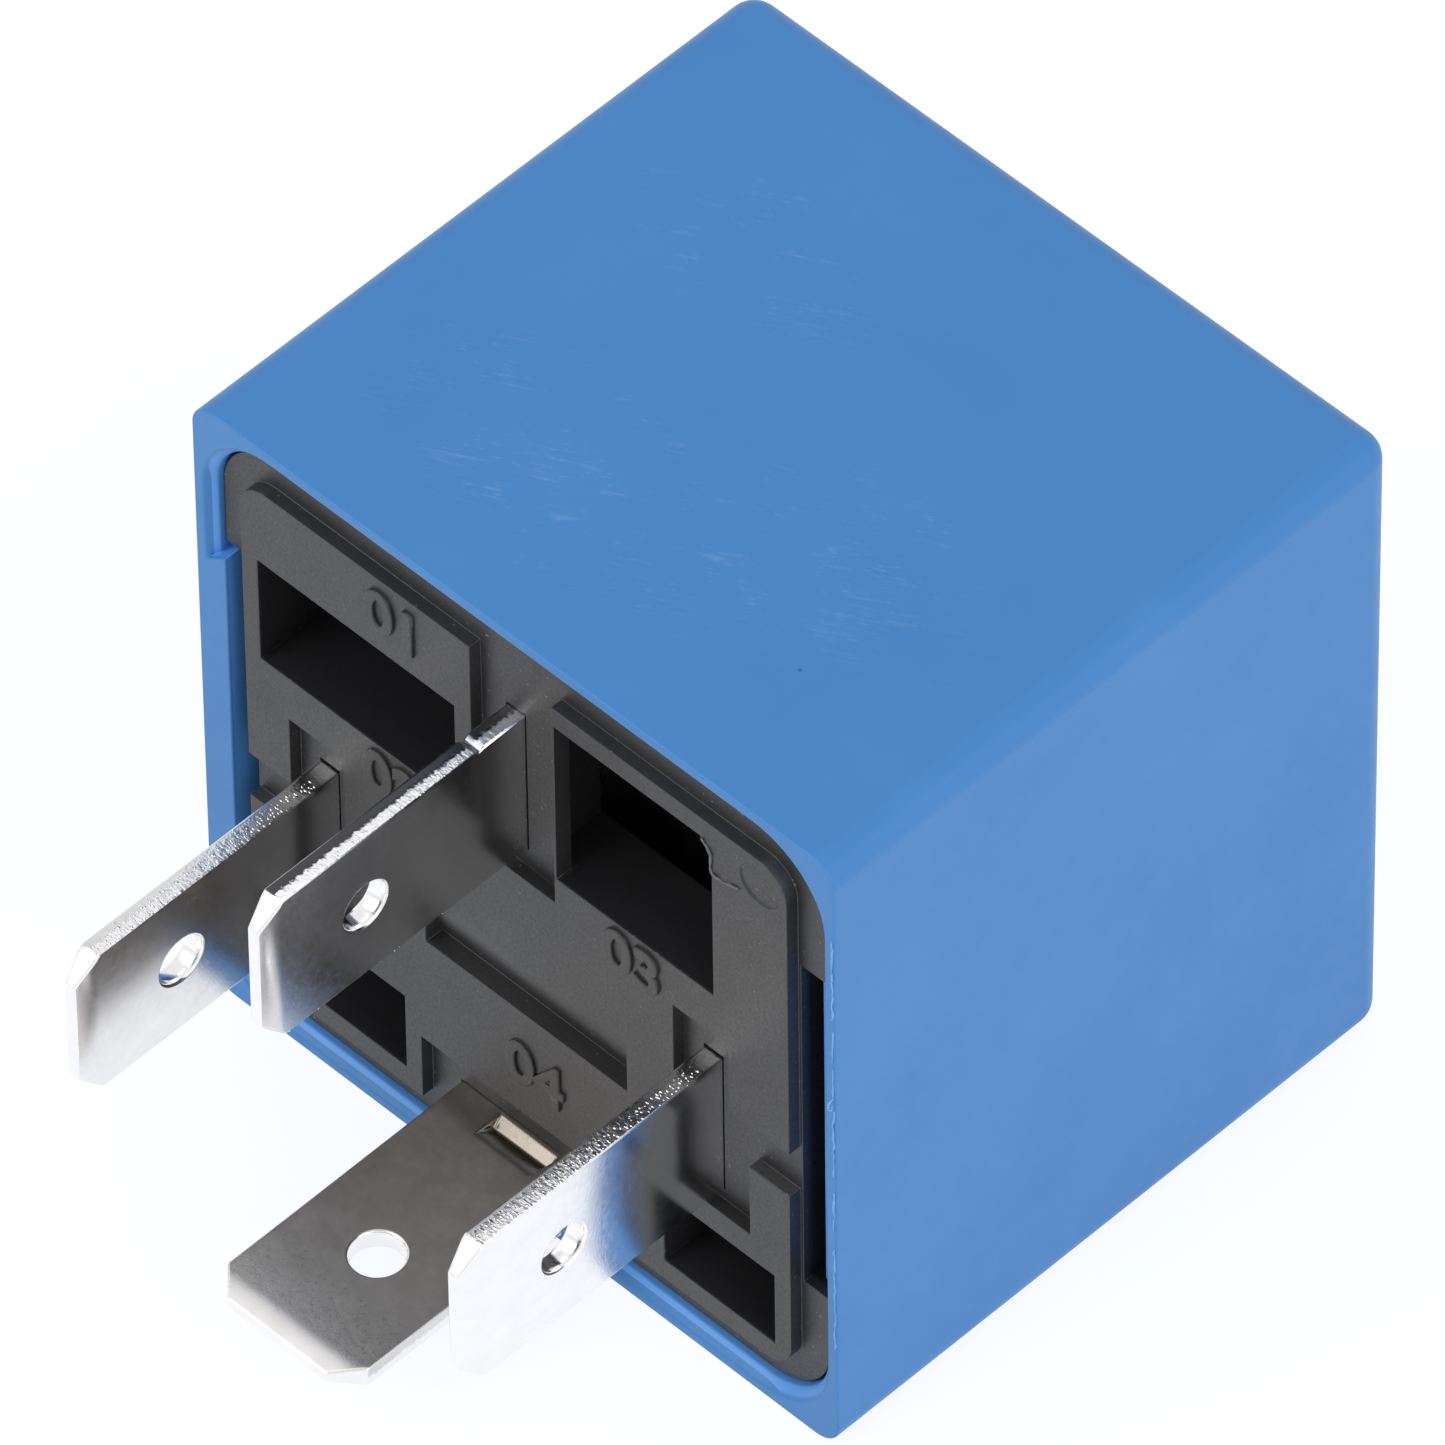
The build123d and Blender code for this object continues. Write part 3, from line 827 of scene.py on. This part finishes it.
class Recipe:
    """A Geometry Nodes tree with named sizes, ending in Realize Instances and Set Material."""

    def __init__(self, name: str, material: Material, sizes: dict[str, float]) -> None:
        """Start the tree.

        Args:
            name: the tree's name.
            material: the material that it ends with.
            sizes: its named inputs and their values.
        """
        self.name = name
        self.material = material
        self.sizes = sizes
        self.tree = bpy.data.node_groups.new(name, "GeometryNodeTree")
        face = self.tree.interface
        for in_out in ("INPUT", "OUTPUT"):
            face.new_socket("Geometry", in_out=in_out, socket_type="NodeSocketGeometry")
        for size, value in sizes.items():
            socket = face.new_socket(size, in_out="INPUT", socket_type="NodeSocketFloat")
            socket.default_value = value
        self.inputs = self.tree.nodes.new("NodeGroupInput").outputs

    def add(self, kind: str, links: dict[int, object], **settings: object) -> Node:
        """Add a node.

        Args:
            kind: its full type name.
            links: for each input's number, a socket to link or a value to set.
            settings: attributes to set first.

        Returns:
            The new node.
        """
        node = self.tree.nodes.new(kind)
        for name, value in settings.items():
            setattr(node, name, value)
        for index, value in links.items():
            if isinstance(value, NodeSocket):
                self.tree.links.new(value, node.inputs[index])
            else:
                node.inputs[index].default_value = value
        return node

    def maths(self, operation: str, a: Value, b: Value) -> NodeSocket:
        """Combine two values."""
        return self.add("ShaderNodeMath", {0: a, 1: b}, operation=operation).outputs[0]

    def random(self, low: Triple, high: Triple, seed: Seed) -> NodeSocket:
        """A random vector for each point."""
        draw = {0: low, 1: high, 8: int(seed)}
        return self.add("FunctionNodeRandomValue", draw, data_type="FLOAT_VECTOR").outputs[0]

    def strayed(self, step: str, reach: str, furthest: Triple, seed: Seed) -> NodeSocket:
        """The path with points at even steps, each moved a random way.

        Args:
            step: the named size that is the distance between points.
            reach: the named size that says how far they stray.
            furthest: the largest part of the move along each axis, as a share of the reach.
            seed: the seed of the random draw.

        Returns:
            The moved curve's socket.
        """
        curve = self.add("GeometryNodeMeshToCurve", {0: self.inputs["Geometry"]})
        spaced = {0: curve.outputs[0], 3: self.inputs[step]}
        points = self.add("GeometryNodeResampleCurve", spaced, mode="LENGTH")
        way = self.random(tuple(-part for part in furthest), furthest, seed)
        stray = self.add("ShaderNodeVectorMath", {0: way}, operation="SCALE")
        self.tree.links.new(self.inputs[reach], stray.inputs["Scale"])
        moved = {0: points.outputs[0], 3: stray.outputs[0]}
        return self.add("GeometryNodeSetPosition", moved).outputs[0]

    def tube(self, curve: NodeSocket, radius: NodeSocket, sides: int,
             thicker: dict[int, NodeSocket] | None = None) -> NodeSocket:
        """A closed tube along a curve.

        Args:
            curve: the curve's socket.
            radius: the tube's radius.
            sides: how many sides it has.
            thicker: the input that scales the radius along the curve, if it changes.

        Returns:
            The tube's socket.
        """
        ring = self.add("GeometryNodeCurvePrimitiveCircle", {0: sides, 4: radius})
        links = {0: curve, 1: ring.outputs[0], **(thicker or {}), 3: True}
        return self.add("GeometryNodeCurveToMesh", links).outputs[0]

    def set_on(self, points: NodeSocket, shape: NodeSocket, turn: object,
               scale: NodeSocket | None = None) -> NodeSocket:
        """Copies of a shape on points.

        Args:
            points: where they are set.
            shape: the shape to repeat.
            turn: their rotation, or its socket.
            scale: their scale's socket, if it changes.

        Returns:
            The copies' socket.
        """
        links = {0: points, 2: shape, 5: turn} | ({} if scale is None else {6: scale})
        return self.add("GeometryNodeInstanceOnPoints", links).outputs[0]

    def finish(self, geometry: NodeSocket) -> None:
        """Realize the instances, set the material and close the tree.

        Args:
            geometry: what the tree has made.
        """
        real = self.add("GeometryNodeRealizeInstances", {0: geometry})
        dressed = self.add("GeometryNodeSetMaterial", {0: real.outputs[0], 2: self.material})
        end = self.tree.nodes.new("NodeGroupOutput")
        self.tree.links.new(dressed.outputs[0], end.inputs[0])

    def grow(self, path: Mesh) -> Mesh:
        """Run the tree on a path or on points.

        Args:
            path: the mesh that the tree starts from.

        Returns:
            The result as a plain, smooth mesh.
        """
        host = put(self.name, path)
        modifier = host.modifiers.new(self.name, "NODES")
        modifier.node_group = self.tree
        for item in self.tree.interface.items_tree:
            if item.item_type == "SOCKET" and item.in_out == "INPUT" and item.name in self.sizes:
                modifier[item.identifier] = self.sizes[item.name]
        mesh = baked(host)
        mesh.shade_smooth()
        return mesh


class FlashLine(Recipe):
    """A thin ragged bead of flash that follows a path."""

    SIDES: int = 6
    THINNEST: float = 0.35
    THICKEST: float = 1.25

    def __init__(self, name: str, material: Material, thickness: float, wander: float,
                 step: float) -> None:
        """Build the tree.

        Args:
            name: the tree's name.
            material: its material.
            thickness: the bead's usual radius.
            wander: how far it strays from the path.
            step: distance between its points.
        """
        super().__init__(name, material, {"thickness": thickness, "wander": wander, "step": step})
        moved = self.strayed("step", "wander", (1.0, 1.0, 1.0), Seed.FLASH_STRAY)
        draw = {2: self.THINNEST, 3: self.THICKEST, 8: int(Seed.FLASH_THICKNESS)}
        ragged = self.add("FunctionNodeRandomValue", draw, data_type="FLOAT").outputs[1]
        self.finish(self.tube(moved, self.inputs["thickness"], self.SIDES, {2: ragged}))


class TornEdge(Recipe):
    """Small torn crumbs of metal along a sheared edge."""

    ROUNDS: int = 1
    STRAY: Triple = (1.0, 1.0, 0.25)
    TURN: Triple = (0.5, 0.5, 0.5)
    SMALLEST: Triple = (0.9, 0.6, 0.2)
    LARGEST: Triple = (1.7, 1.1, 0.5)

    def __init__(self, name: str, material: Material, pitch: float, crumb: float,
                 spread: float) -> None:
        """Build the tree.

        Args:
            name: the tree's name.
            material: its material.
            pitch: distance between crumbs.
            crumb: a crumb's usual radius.
            spread: how far a crumb lies from the path.
        """
        super().__init__(name, material, {"pitch": pitch, "crumb": crumb, "spread": spread})
        moved = self.strayed("pitch", "spread", self.STRAY, Seed.CRUMB_STRAY)
        ball = {0: self.inputs["crumb"], 1: self.ROUNDS}
        shape = self.add("GeometryNodeMeshIcoSphere", ball).outputs[0]
        turn = self.random(tuple(-part for part in self.TURN), self.TURN, Seed.CRUMB_TURN)
        scale = self.random(self.SMALLEST, self.LARGEST, Seed.CRUMB_SIZE)
        self.finish(self.set_on(moved, shape, turn, scale))


class Winding(Recipe):
    """Turns of round wire along the coil's axis, starting at each point."""

    POINTS_PER_TURN: int = 28
    SIDES: int = 6
    ALONG_Y: Triple = (-math.pi / 2, 0.0, 0.0)

    def __init__(self, name: str, material: Material, radius: float, length: float,
                 wire: float) -> None:
        """Build the tree.

        Args:
            name: the tree's name.
            material: its material.
            radius: radius of the turns' centre line.
            length: length of the winding.
            wire: the wire's diameter.
        """
        super().__init__(name, material, {"radius": radius, "length": length, "wire": wire})
        width, reach, diameter = (self.inputs[size] for size in ("radius", "length", "wire"))
        turns = self.maths("DIVIDE", reach, diameter)
        sizes = {0: self.POINTS_PER_TURN, 1: turns, 2: width, 3: width, 4: reach}
        helix = self.add("GeometryNodeCurveSpiral", sizes).outputs[0]
        wound = self.tube(helix, self.maths("MULTIPLY", diameter, 0.5), self.SIDES)
        self.finish(self.set_on(self.inputs["Geometry"], wound, self.ALONG_Y))


class Rivets(Recipe):
    """Round rivets with a low domed head at each point, their shanks pointing along local -Z."""

    HEAD_SIDES: int = 32
    HEAD_RINGS: int = 12
    SHANK_SIDES: int = 24

    def __init__(self, name: str, material: Material, head: Pair, shank: Pair,
                 turn: Triple) -> None:
        """Build the tree.

        Args:
            name: the tree's name.
            material: its material.
            head: the head's radius and height.
            shank: the shank's radius and length.
            turn: the rivets' rotation.
        """
        names = ("head_radius", "head_height", "shank_radius", "shank_length")
        super().__init__(name, material, dict(zip(names, (*head, *shank))))
        wide, tall, thin, deep = (self.inputs[size] for size in names)
        half = self.maths("MULTIPLY", tall, 0.5)
        collar = self.cylinder(self.HEAD_SIDES, wide, half, self.maths("MULTIPLY", tall, 0.25))
        round_ball = {0: self.HEAD_SIDES, 1: self.HEAD_RINGS, 2: wide}
        ball = self.add("GeometryNodeMeshUVSphere", round_ball).outputs[0]
        flatness = self.maths("DIVIDE", half, wide)
        flat = self.add("ShaderNodeCombineXYZ", {0: 1.0, 1: 1.0, 2: flatness}).outputs[0]
        dome = self.lifted(self.add("GeometryNodeTransform", {0: ball, 3: flat}).outputs[0], half)
        pin = self.cylinder(self.SHANK_SIDES, thin, deep, self.maths("MULTIPLY", deep, -0.5))
        rivet = self.tree.nodes.new("GeometryNodeJoinGeometry")
        for part in (collar, dome, pin):
            self.tree.links.new(part, rivet.inputs[0])
        self.finish(self.set_on(self.inputs["Geometry"], rivet.outputs[0], turn))

    def cylinder(self, sides: int, radius: NodeSocket, length: NodeSocket,
                 height: NodeSocket) -> NodeSocket:
        """A cylinder along its own Z, with its middle raised."""
        made = self.add("GeometryNodeMeshCylinder", {0: sides, 3: radius, 4: length})
        return self.lifted(made.outputs[0], height)

    def lifted(self, geometry: NodeSocket, height: NodeSocket) -> NodeSocket:
        """Geometry raised along its own Z."""
        up = self.add("ShaderNodeCombineXYZ", {2: height})
        return self.add("GeometryNodeTransform", {0: geometry, 1: up.outputs[0]}).outputs[0]


# ------------------------------------------------------------------ sub-assemblies


@dataclass
class Housing:
    """The blue cover and the black base, with their flash and the pads' plain numbers.

    A flash bead is given as its thickness, wander and step. The curl and the spurs on the rim
    are given as how far each point stands out of the rim, and its height.
    """

    palette: Palette
    cover_round: float = 0.07 * MM
    base_round: float = 0.035 * MM
    number_height: float = 1.9 * MM
    type_size_per_height: float = 1.35
    number_rise: float = 0.13 * MM
    number_bevel: float = 0.05 * MM
    number_bevel_steps: int = 2
    number_bold: float = 0.03 * MM
    number_curve_steps: int = 6
    numbers: dict[str, Pair] = field(default_factory=lambda: {
        "01": mm(-5.1, 10.3), "02": mm(-5.35, 2.55), "03": mm(5.2, 2.5), "04": mm(0.75, -6.5),
    })
    rim_bead: Triple = mm(0.036, 0.03, 0.2)
    rim_bead_inset: float = 0.085 * MM
    rim_bead_proud: float = 0.01 * MM
    rim_runs: tuple[Pair, ...] = (
        mm(10.6, 9.0), mm(8.7, 6.9), mm(6.3, 4.9), mm(4.6, 3.3), mm(2.5, -0.6), mm(-1.4, -3.2),
        mm(-4.1, -9.0))
    curl: tuple[Pair, ...] = (
        mm(0.0, 3.15), mm(0.2, 3.06), mm(0.26, 2.84), mm(0.1, 2.68), mm(0.0, 2.8))
    spur: tuple[Pair, ...] = (mm(0.0, 0.0), mm(0.1, 0.12), mm(0.04, 0.3))
    spur_heights: tuple[float, ...] = mm(8.8, 7.0, 5.1)
    rim_finish: PlainPlastic = PlainPlastic(
        "cover_flash", (0.20, 0.42, 0.76), (0.10, 0.30, 0.64), 0.4)
    window_bead: Triple = mm(0.055, 0.03, 0.16)
    window_crack: tuple[Triple, ...] = (
        mm(8.3, -0.02, 11.0), mm(8.72, -0.02, 10.5), mm(8.7, -0.02, 9.7), mm(9.2, -0.02, 9.62),
        mm(9.9, -0.02, 9.85))
    window_finish: PlainPlastic = PlainPlastic(
        "base_flash", (0.16, 0.16, 0.165), (0.07, 0.07, 0.075), 0.4)

    def build(self) -> None:
        """Build the cover, the base and what is moulded on them."""
        cover = SoftEdges(self.cover_round).copy("cover")
        add_piece("cover_shell", cover, self.palette, Slot.COVER, replaces=("cover",))
        base = SoftEdges(self.base_round).copy("base")
        add_piece("base_plate", base, self.palette, Slot.BASE, replaces=("base",))
        numbers = joined([self.number(text, *place) for text, place in self.numbers.items()])
        add_piece("pad_numbers", numbers, self.palette, Slot.BASE)
        self.flash()

    def number(self, text: str, x: float, z: float) -> Mesh:
        """A plain two-figure number raised on a pad.

        Args:
            text: the figures.
            x: where its middle is along X.
            z: where its middle is along Z.

        Returns:
            Its mesh, standing on the plug face.
        """
        curve = bpy.data.curves.new(f"number_{text}", "FONT")
        curve.body = text
        curve.size = self.number_height * self.type_size_per_height
        curve.align_x = "CENTER"
        curve.align_y = "CENTER"
        curve.extrude = self.number_rise - self.number_bevel
        curve.bevel_depth = self.number_bevel
        curve.bevel_resolution = self.number_bevel_steps
        curve.offset = self.number_bold
        curve.resolution_u = self.number_curve_steps
        thing = put(f"number_{text}", curve)
        upright = Matrix.Rotation(math.pi / 2, 4, "X")
        thing.matrix_world = Matrix.Translation((x, 0.0, z)) @ upright
        return baked(thing)

    def flash(self) -> None:
        """Ragged flash along the cover's rim and at the corner of the upper right window."""
        low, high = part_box("cover")
        x = high.x - self.rim_bead_inset
        y = low.y - self.rim_bead_proud
        rims = [[(x, y, top), (x, y, bottom)] for top, bottom in self.rim_runs]
        curl = [(x, y - out, height) for out, height in self.curl]
        spurs = [[(x, y - out, root + rise) for out, rise in self.spur]
                 for root in self.spur_heights]
        bead = FlashLine("rim_flash", self.palette.get(Slot.COVER), *self.rim_bead)
        line = bead.grow(path_mesh(*rims, curl, *spurs))
        dress(add_piece("rim_flash", line, self.palette, Slot.COVER), self.rim_finish.material())
        bead = FlashLine("window_flash", self.palette.get(Slot.BASE), *self.window_bead)
        line = bead.grow(path_mesh(self.window_crack))
        piece = add_piece("window_flash", line, self.palette, Slot.BASE)
        dress(piece, self.window_finish.material())


@dataclass
class Terminals:
    """The four blades with rounded and torn edges."""

    palette: Palette
    edge_round: float = 0.1 * MM
    edge_steps: int = 3
    upright: tuple[str, ...] = ("terminal_common", "terminal_coil_left", "terminal_coil_right")
    flat: str = "terminal_normally_open"
    half_thick: float = 0.4 * MM
    blade_half_width: float = 3.15 * MM
    tip_chamfer: float = 1.0 * MM
    on_surface: float = 0.02 * MM
    # per blade, how much of the cut edge is smooth and darkened by painted reflection
    burnish_and_reflection: dict[str, float] = field(default_factory=lambda: {
        "terminal_common": 1.0, "terminal_coil_left": 0.2,
        "terminal_coil_right": 0.35, "terminal_normally_open": 0.3,
    })
    # per blade, how strongly the face takes the tone that is part tarnish and part painted shade
    tarnish_and_shade: dict[str, float] = field(default_factory=lambda: {
        "terminal_common": 0.4, "terminal_coil_left": 0.12,
        "terminal_coil_right": 0.0, "terminal_normally_open": 1.0,
    })
    # painted shade: the tone weakens by this share from the root to the tip
    shade_fade_to_tip: float = 0.5
    bright_tip: float = 0.8 * MM
    crumb_pitch: float = 0.15 * MM
    crumb: float = 0.058 * MM
    crumb_spread: float = 0.05 * MM
    crumb_sunk: float = 0.015 * MM
    common_torn: tuple[float, ...] = mm(0.12, 0.24)
    common_torn_root: float = -2.2 * MM
    coil_torn: tuple[float, ...] = mm(0.13, 0.28, 0.43)
    coil_torn_root: float = -0.4 * MM

    def build(self) -> None:
        """Build each blade, then the crumbs along the sheared edges."""
        for node in (*self.upright, self.flat):
            mesh = SoftEdges(self.edge_round, self.edge_steps).copy(node)
            self.mark(mesh, node)
            name = node.replace("terminal", "blade")
            add_piece(name, mesh, self.palette, Slot.BLADE, replaces=(node,))
        sizes = (self.crumb_pitch, self.crumb, self.crumb_spread)
        tear = TornEdge("torn_edges", self.palette.get(Slot.BLADE), *sizes)
        crumbs = tear.grow(path_mesh(*self.torn_runs()))
        add_piece("torn_edges", crumbs, self.palette, Slot.BLADE)

    def middle(self, node: str) -> Pair:
        """The middle of a blade.

        Args:
            node: its CAD node.

        Returns:
            Where it is along X and along Z.
        """
        low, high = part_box(node)
        if node == self.flat:
            return (low.x + high.x) / 2, low.z + self.half_thick
        return (low.x + high.x) / 2, (low.z + high.z) / 2

    def mark(self, mesh: Mesh, node: str) -> None:
        """Write the attributes that the tin finish reads.

        Args:
            mesh: the blade's mesh.
            node: its CAD node.
        """
        x, z = self.middle(node)
        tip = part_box(node)[0].y
        for name in MARKS:
            mesh.attributes.new(name, "FLOAT", "POINT")
        across, sheared, burnish_and_reflection, tarnish_and_shade = (mesh.attributes[name].data for name in MARKS)
        for vertex in mesh.vertices:
            thick, wide = vertex.co.x - x, vertex.co.z - z
            if node == self.flat:
                thick, wide = -wide, thick
            y = vertex.co.y
            on_edge = abs(abs(wide) - self.blade_half_width) < self.on_surface
            on_face = abs(abs(thick) - self.half_thick) < self.on_surface
            cut = 1.0 if on_edge and y < 0.0 else 0.0
            # tarnish and painted shade: the face tone is full at the root and weakens towards the
            # tip
            faded = 1.0 - self.shade_fade_to_tip * y / tip
            across[vertex.index].value = thick / self.half_thick
            sheared[vertex.index].value = cut
            burnish_and_reflection[vertex.index].value = cut * self.burnish_and_reflection[node]
            if on_face and y > tip + self.bright_tip:
                tarnish_and_shade[vertex.index].value = self.tarnish_and_shade[node] * faded

    def torn_runs(self) -> list[list[Triple]]:
        """Lines along the near half of each upright blade's sheared edges.

        Returns:
            The two ends of each line.
        """
        runs = []
        for node in self.upright:
            x, z = self.middle(node)
            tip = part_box(node)[0].y + self.tip_chamfer
            insets, root = self.coil_torn, self.coil_torn_root
            if node == "terminal_common":
                insets, root = self.common_torn, self.common_torn_root
            for side in (-1, 1):
                level = z + side * (self.blade_half_width - self.crumb_sunk)
                for inset in insets:
                    near = x + self.half_thick - inset
                    runs.append([(near, tip, level), (near, root, level)])
        return runs


@dataclass
class Magnet:
    """Yoke, core, bobbin, winding, tape, leads and solder."""

    palette: Palette
    wire: float = 0.18 * MM
    winding_round: float = 0.05 * MM
    nodes: dict[str, Slot] = field(default_factory=lambda: {
        "yoke": Slot.IRON, "core": Slot.IRON, "bobbin": Slot.BOBBIN, "coil_tape": Slot.TAPE,
        "coil_lead_left": Slot.COPPER, "coil_lead_right": Slot.COPPER,
        "solder_joint_left": Slot.SOLDER, "solder_joint_right": Slot.SOLDER,
    })

    def build(self) -> None:
        """Dress the magnet's pieces and wind the coil."""
        for node, slot in self.nodes.items():
            dress_node(node, self.palette.get(slot))
        low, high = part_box("coil_winding")
        x, z = (low.x + high.x) / 2, (low.z + high.z) / 2
        radius = (high.x - low.x) / 2 - self.wire / 2
        length = high.y - low.y - self.wire
        wound = Winding("winding", self.palette.get(Slot.COPPER), radius, length, self.wire)
        turns = wound.grow(path_mesh([(x, low.y + self.wire / 2, z)]))
        under = self.lower_layers(x, z, radius)
        coil = joined([turns, under])
        add_piece("coil_turns", coil, self.palette, Slot.COPPER, replaces=("coil_winding",))

    def lower_layers(self, x: float, z: float, radius: float) -> Mesh:
        """The winding's solid, drawn in a little so that the outer turns stand out of it.

        Args:
            x: where the coil's axis is along X.
            z: where the coil's axis is along Z.
            radius: radius of the outer turns' centre line.

        Returns:
            The solid's mesh.
        """
        mesh = SoftEdges(self.winding_round).copy("coil_winding")
        axis = Vector((x, 0.0, z))
        shrink = (radius - self.wire / 4) / (radius + self.wire / 2)
        for vertex in mesh.vertices:
            out = (vertex.co - axis).xz
            if out.length > radius:
                vertex.co.x = x + out.x * shrink
                vertex.co.z = z + out.y * shrink
        return mesh


@dataclass
class Switch:
    """Armature, springs, rivets, contacts and back stop."""

    palette: Palette
    rivet_head: Pair = mm(1.25, 0.5)
    rivet_shank: float = 0.7 * MM
    nodes: dict[str, Slot] = field(default_factory=lambda: {
        "armature": Slot.IRON, "contact_spring": Slot.SPRING, "back_stop": Slot.SPRING,
        "hinge_spring": Slot.SPRING, "moving_contact": Slot.SILVER, "fixed_contact": Slot.SILVER,
    })

    def build(self) -> None:
        """Dress the switch's pieces and set the rivets."""
        for node, slot in self.nodes.items():
            dress_node(node, self.palette.get(slot))
        head = self.rivet_head[1]
        low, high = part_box("hinge_rivets")
        seat = ((low.y + high.y) / 2, high.z - head)
        self.rivets("hinge_rivets", seat, seat[1] - low.z, (0.0, 0.0, 0.0), HOUSING)
        low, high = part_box("armature_rivets")
        lean, drop = math.cos(ARMATURE_TILT), math.sin(ARMATURE_TILT)
        seat = (high.y - head * lean - self.rivet_head[0] * drop, (low.z + high.z) / 2)
        length = (high.y - low.y - head) / lean - 2 * self.rivet_shank * drop
        turn = (-math.pi / 2 + ARMATURE_TILT, 0.0, 0.0)
        self.rivets("armature_rivets", seat, length, turn, MOVING)

    def rivets(self, node: str, seat: Pair, length: float, turn: Triple, body: str) -> None:
        """Set a pair of domed rivets in place of a CAD node.

        Args:
            node: the CAD node.
            seat: where their heads sit, along Y and along Z.
            length: the length of their shanks.
            turn: their rotation.
            body: the CAD body that they ride on.
        """
        low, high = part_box(node)
        radius = self.rivet_head[0]
        shank = (self.rivet_shank, length)
        tree = Rivets(node, self.palette.get(Slot.IRON), self.rivet_head, shank, turn)
        pair = tree.grow(path_mesh([(low.x + radius, *seat)], [(high.x - radius, *seat)]))
        add_piece(f"{node}_domed", pair, self.palette, Slot.IRON, body=body, replaces=(node,))


# ------------------------------------------------------------------ studio


@dataclass(frozen=True)
class Lamp:
    """A square lamp: its place and side in metres, and its power in watts."""

    name: str
    place: Triple
    size: float
    power: float

    def hang(self, aim: Triple) -> None:
        """Put the lamp in the scene, facing a point.

        Args:
            aim: the point, in metres.
        """
        light = bpy.data.lights.new(self.name, "AREA")
        light.shape = "SQUARE"
        light.size = self.size
        light.energy = self.power
        lamp = put(self.name, light)
        lamp.location = self.place
        towards = Vector(aim) - Vector(self.place)
        lamp.rotation_euler = towards.to_track_quat("-Z", "Y").to_euler()


@dataclass
class Studio:
    """Pale floor, soft lamps, plain world and the camera."""

    floor_size: float = 1.6
    floor_gap: float = 0.02 * MM
    floor_albedo: Colour = (0.86, 0.86, 0.86)
    floor_roughness: float = 0.9
    floor_glow: float = 0.78
    floor_colour: Colour = (1.08, 1.11, 1.16)
    world_fill: float = 0.60
    world_seen: float = 0.90
    lamps: tuple[Lamp, ...] = (
        Lamp("lamp_front", (-0.25, -0.55, 0.45), 0.5, 2.2),
        Lamp("lamp_right", (0.6, -0.05, 0.30), 0.5, 1.9),
        Lamp("lamp_top", (0.0, 0.1, 0.7), 0.6, 0.4),
    )
    azimuth_deg: float = 45.139
    elevation_deg: float = 48.833
    roll_deg: float = -0.779
    distance: float = 0.73831
    lens: float = 585.12
    sensor: float = 36.0
    clip_end: float = 10.0
    aim: Triple = mm(-0.276, 9.51, 1.719)

    def build(self) -> None:
        """Build the whole studio."""
        self.floor()
        self.world()
        for lamp in self.lamps:
            lamp.hang(self.aim)
        self.camera()

    def seen_directly(self, wires: Wiring) -> NodeSocket:
        """Tell what is seen or mirrored from what lights the object.

        Args:
            wires: the wiring to work in.

        Returns:
            1 for camera, glossy and transmission rays, and 0 for the light that bounces.
        """
        rays = wires.node("LightPath").outputs
        sharp = wires.maths("MAXIMUM", rays["Is Camera Ray"], rays["Is Glossy Ray"])
        return wires.maths("MAXIMUM", sharp, rays["Is Transmission Ray"])

    def floor(self) -> None:
        """A flat white floor just under the cover, which keeps a soft shadow."""
        mesh = bpy.data.meshes.new("floor")
        half = self.floor_size / 2
        low = CAD_BOX[0][2] - self.floor_gap
        corners = [(x * half, y * half, low) for x, y in ((-1, -1), (1, -1), (1, 1), (-1, 1))]
        mesh.from_pydata(corners, [], [(0, 1, 2, 3)])
        floor = put("floor", mesh)
        material, wires, shader = new_material("floor_white")
        shader.inputs["Base Color"].default_value = (*self.floor_albedo, 1.0)
        shader.inputs["Roughness"].default_value = self.floor_roughness
        glow = wires.node("Emission")
        glow.inputs["Color"].default_value = (*self.floor_colour, 1.0)
        blend = wires.node("MixShader")
        share = wires.times(self.seen_directly(wires), self.floor_glow)
        wires.join(share, blend.inputs["Fac"])
        wires.join(shader.outputs["BSDF"], blend.inputs[1])
        wires.join(glow.outputs["Emission"], blend.inputs[2])
        end = material.node_tree.nodes["Material Output"]
        wires.join(blend.outputs["Shader"], end.inputs["Surface"])
        dress(floor, material)

    def world(self) -> None:
        """White where it is seen or mirrored, and a softer fill elsewhere."""
        world = bpy.data.worlds.new("studio")
        world.use_nodes = True
        bpy.context.scene.world = world
        wires = Wiring(world.node_tree)
        background = world.node_tree.nodes["Background"]
        background.inputs["Color"].default_value = (1.0, 1.0, 1.0, 1.0)
        seen = self.seen_directly(wires)
        strength = wires.ramp(seen, 0.0, 1.0, self.world_fill, self.world_seen)
        wires.join(strength, background.inputs["Strength"])

    def camera(self) -> None:
        """The camera, from its azimuth, elevation and roll about the aim point."""
        angles = (self.azimuth_deg, self.elevation_deg, self.roll_deg)
        turn, rise, roll = (math.radians(angle) for angle in angles)
        level = math.cos(rise)
        back = Vector((math.sin(turn) * level, -math.cos(turn) * level, math.sin(rise)))
        flat = Vector((math.cos(turn), math.sin(turn), 0.0))
        tall = back.cross(flat)
        right = math.cos(roll) * flat + math.sin(roll) * tall
        up = -math.sin(roll) * flat + math.cos(roll) * tall
        data = bpy.data.cameras.new("camera")
        data.lens = self.lens
        data.sensor_width = self.sensor
        data.clip_end = self.clip_end
        camera = put("camera", data)
        place = Matrix.Translation(Vector(self.aim) + back * self.distance)
        camera.matrix_world = place @ Matrix((right, up, back)).transposed().to_4x4()
        bpy.context.scene.camera = camera
        bpy.context.scene.view_settings.view_transform = "Standard"


def main() -> None:
    """Build every sub-assembly and the studio, in order."""
    logging.basicConfig(level=logging.INFO, format="%(name)s: %(message)s")
    palette = Palette()
    for part in (Housing(palette), Terminals(palette), Magnet(palette), Switch(palette)):
        part.build()
    Studio().build()


if __name__ == "__main__":
    main()
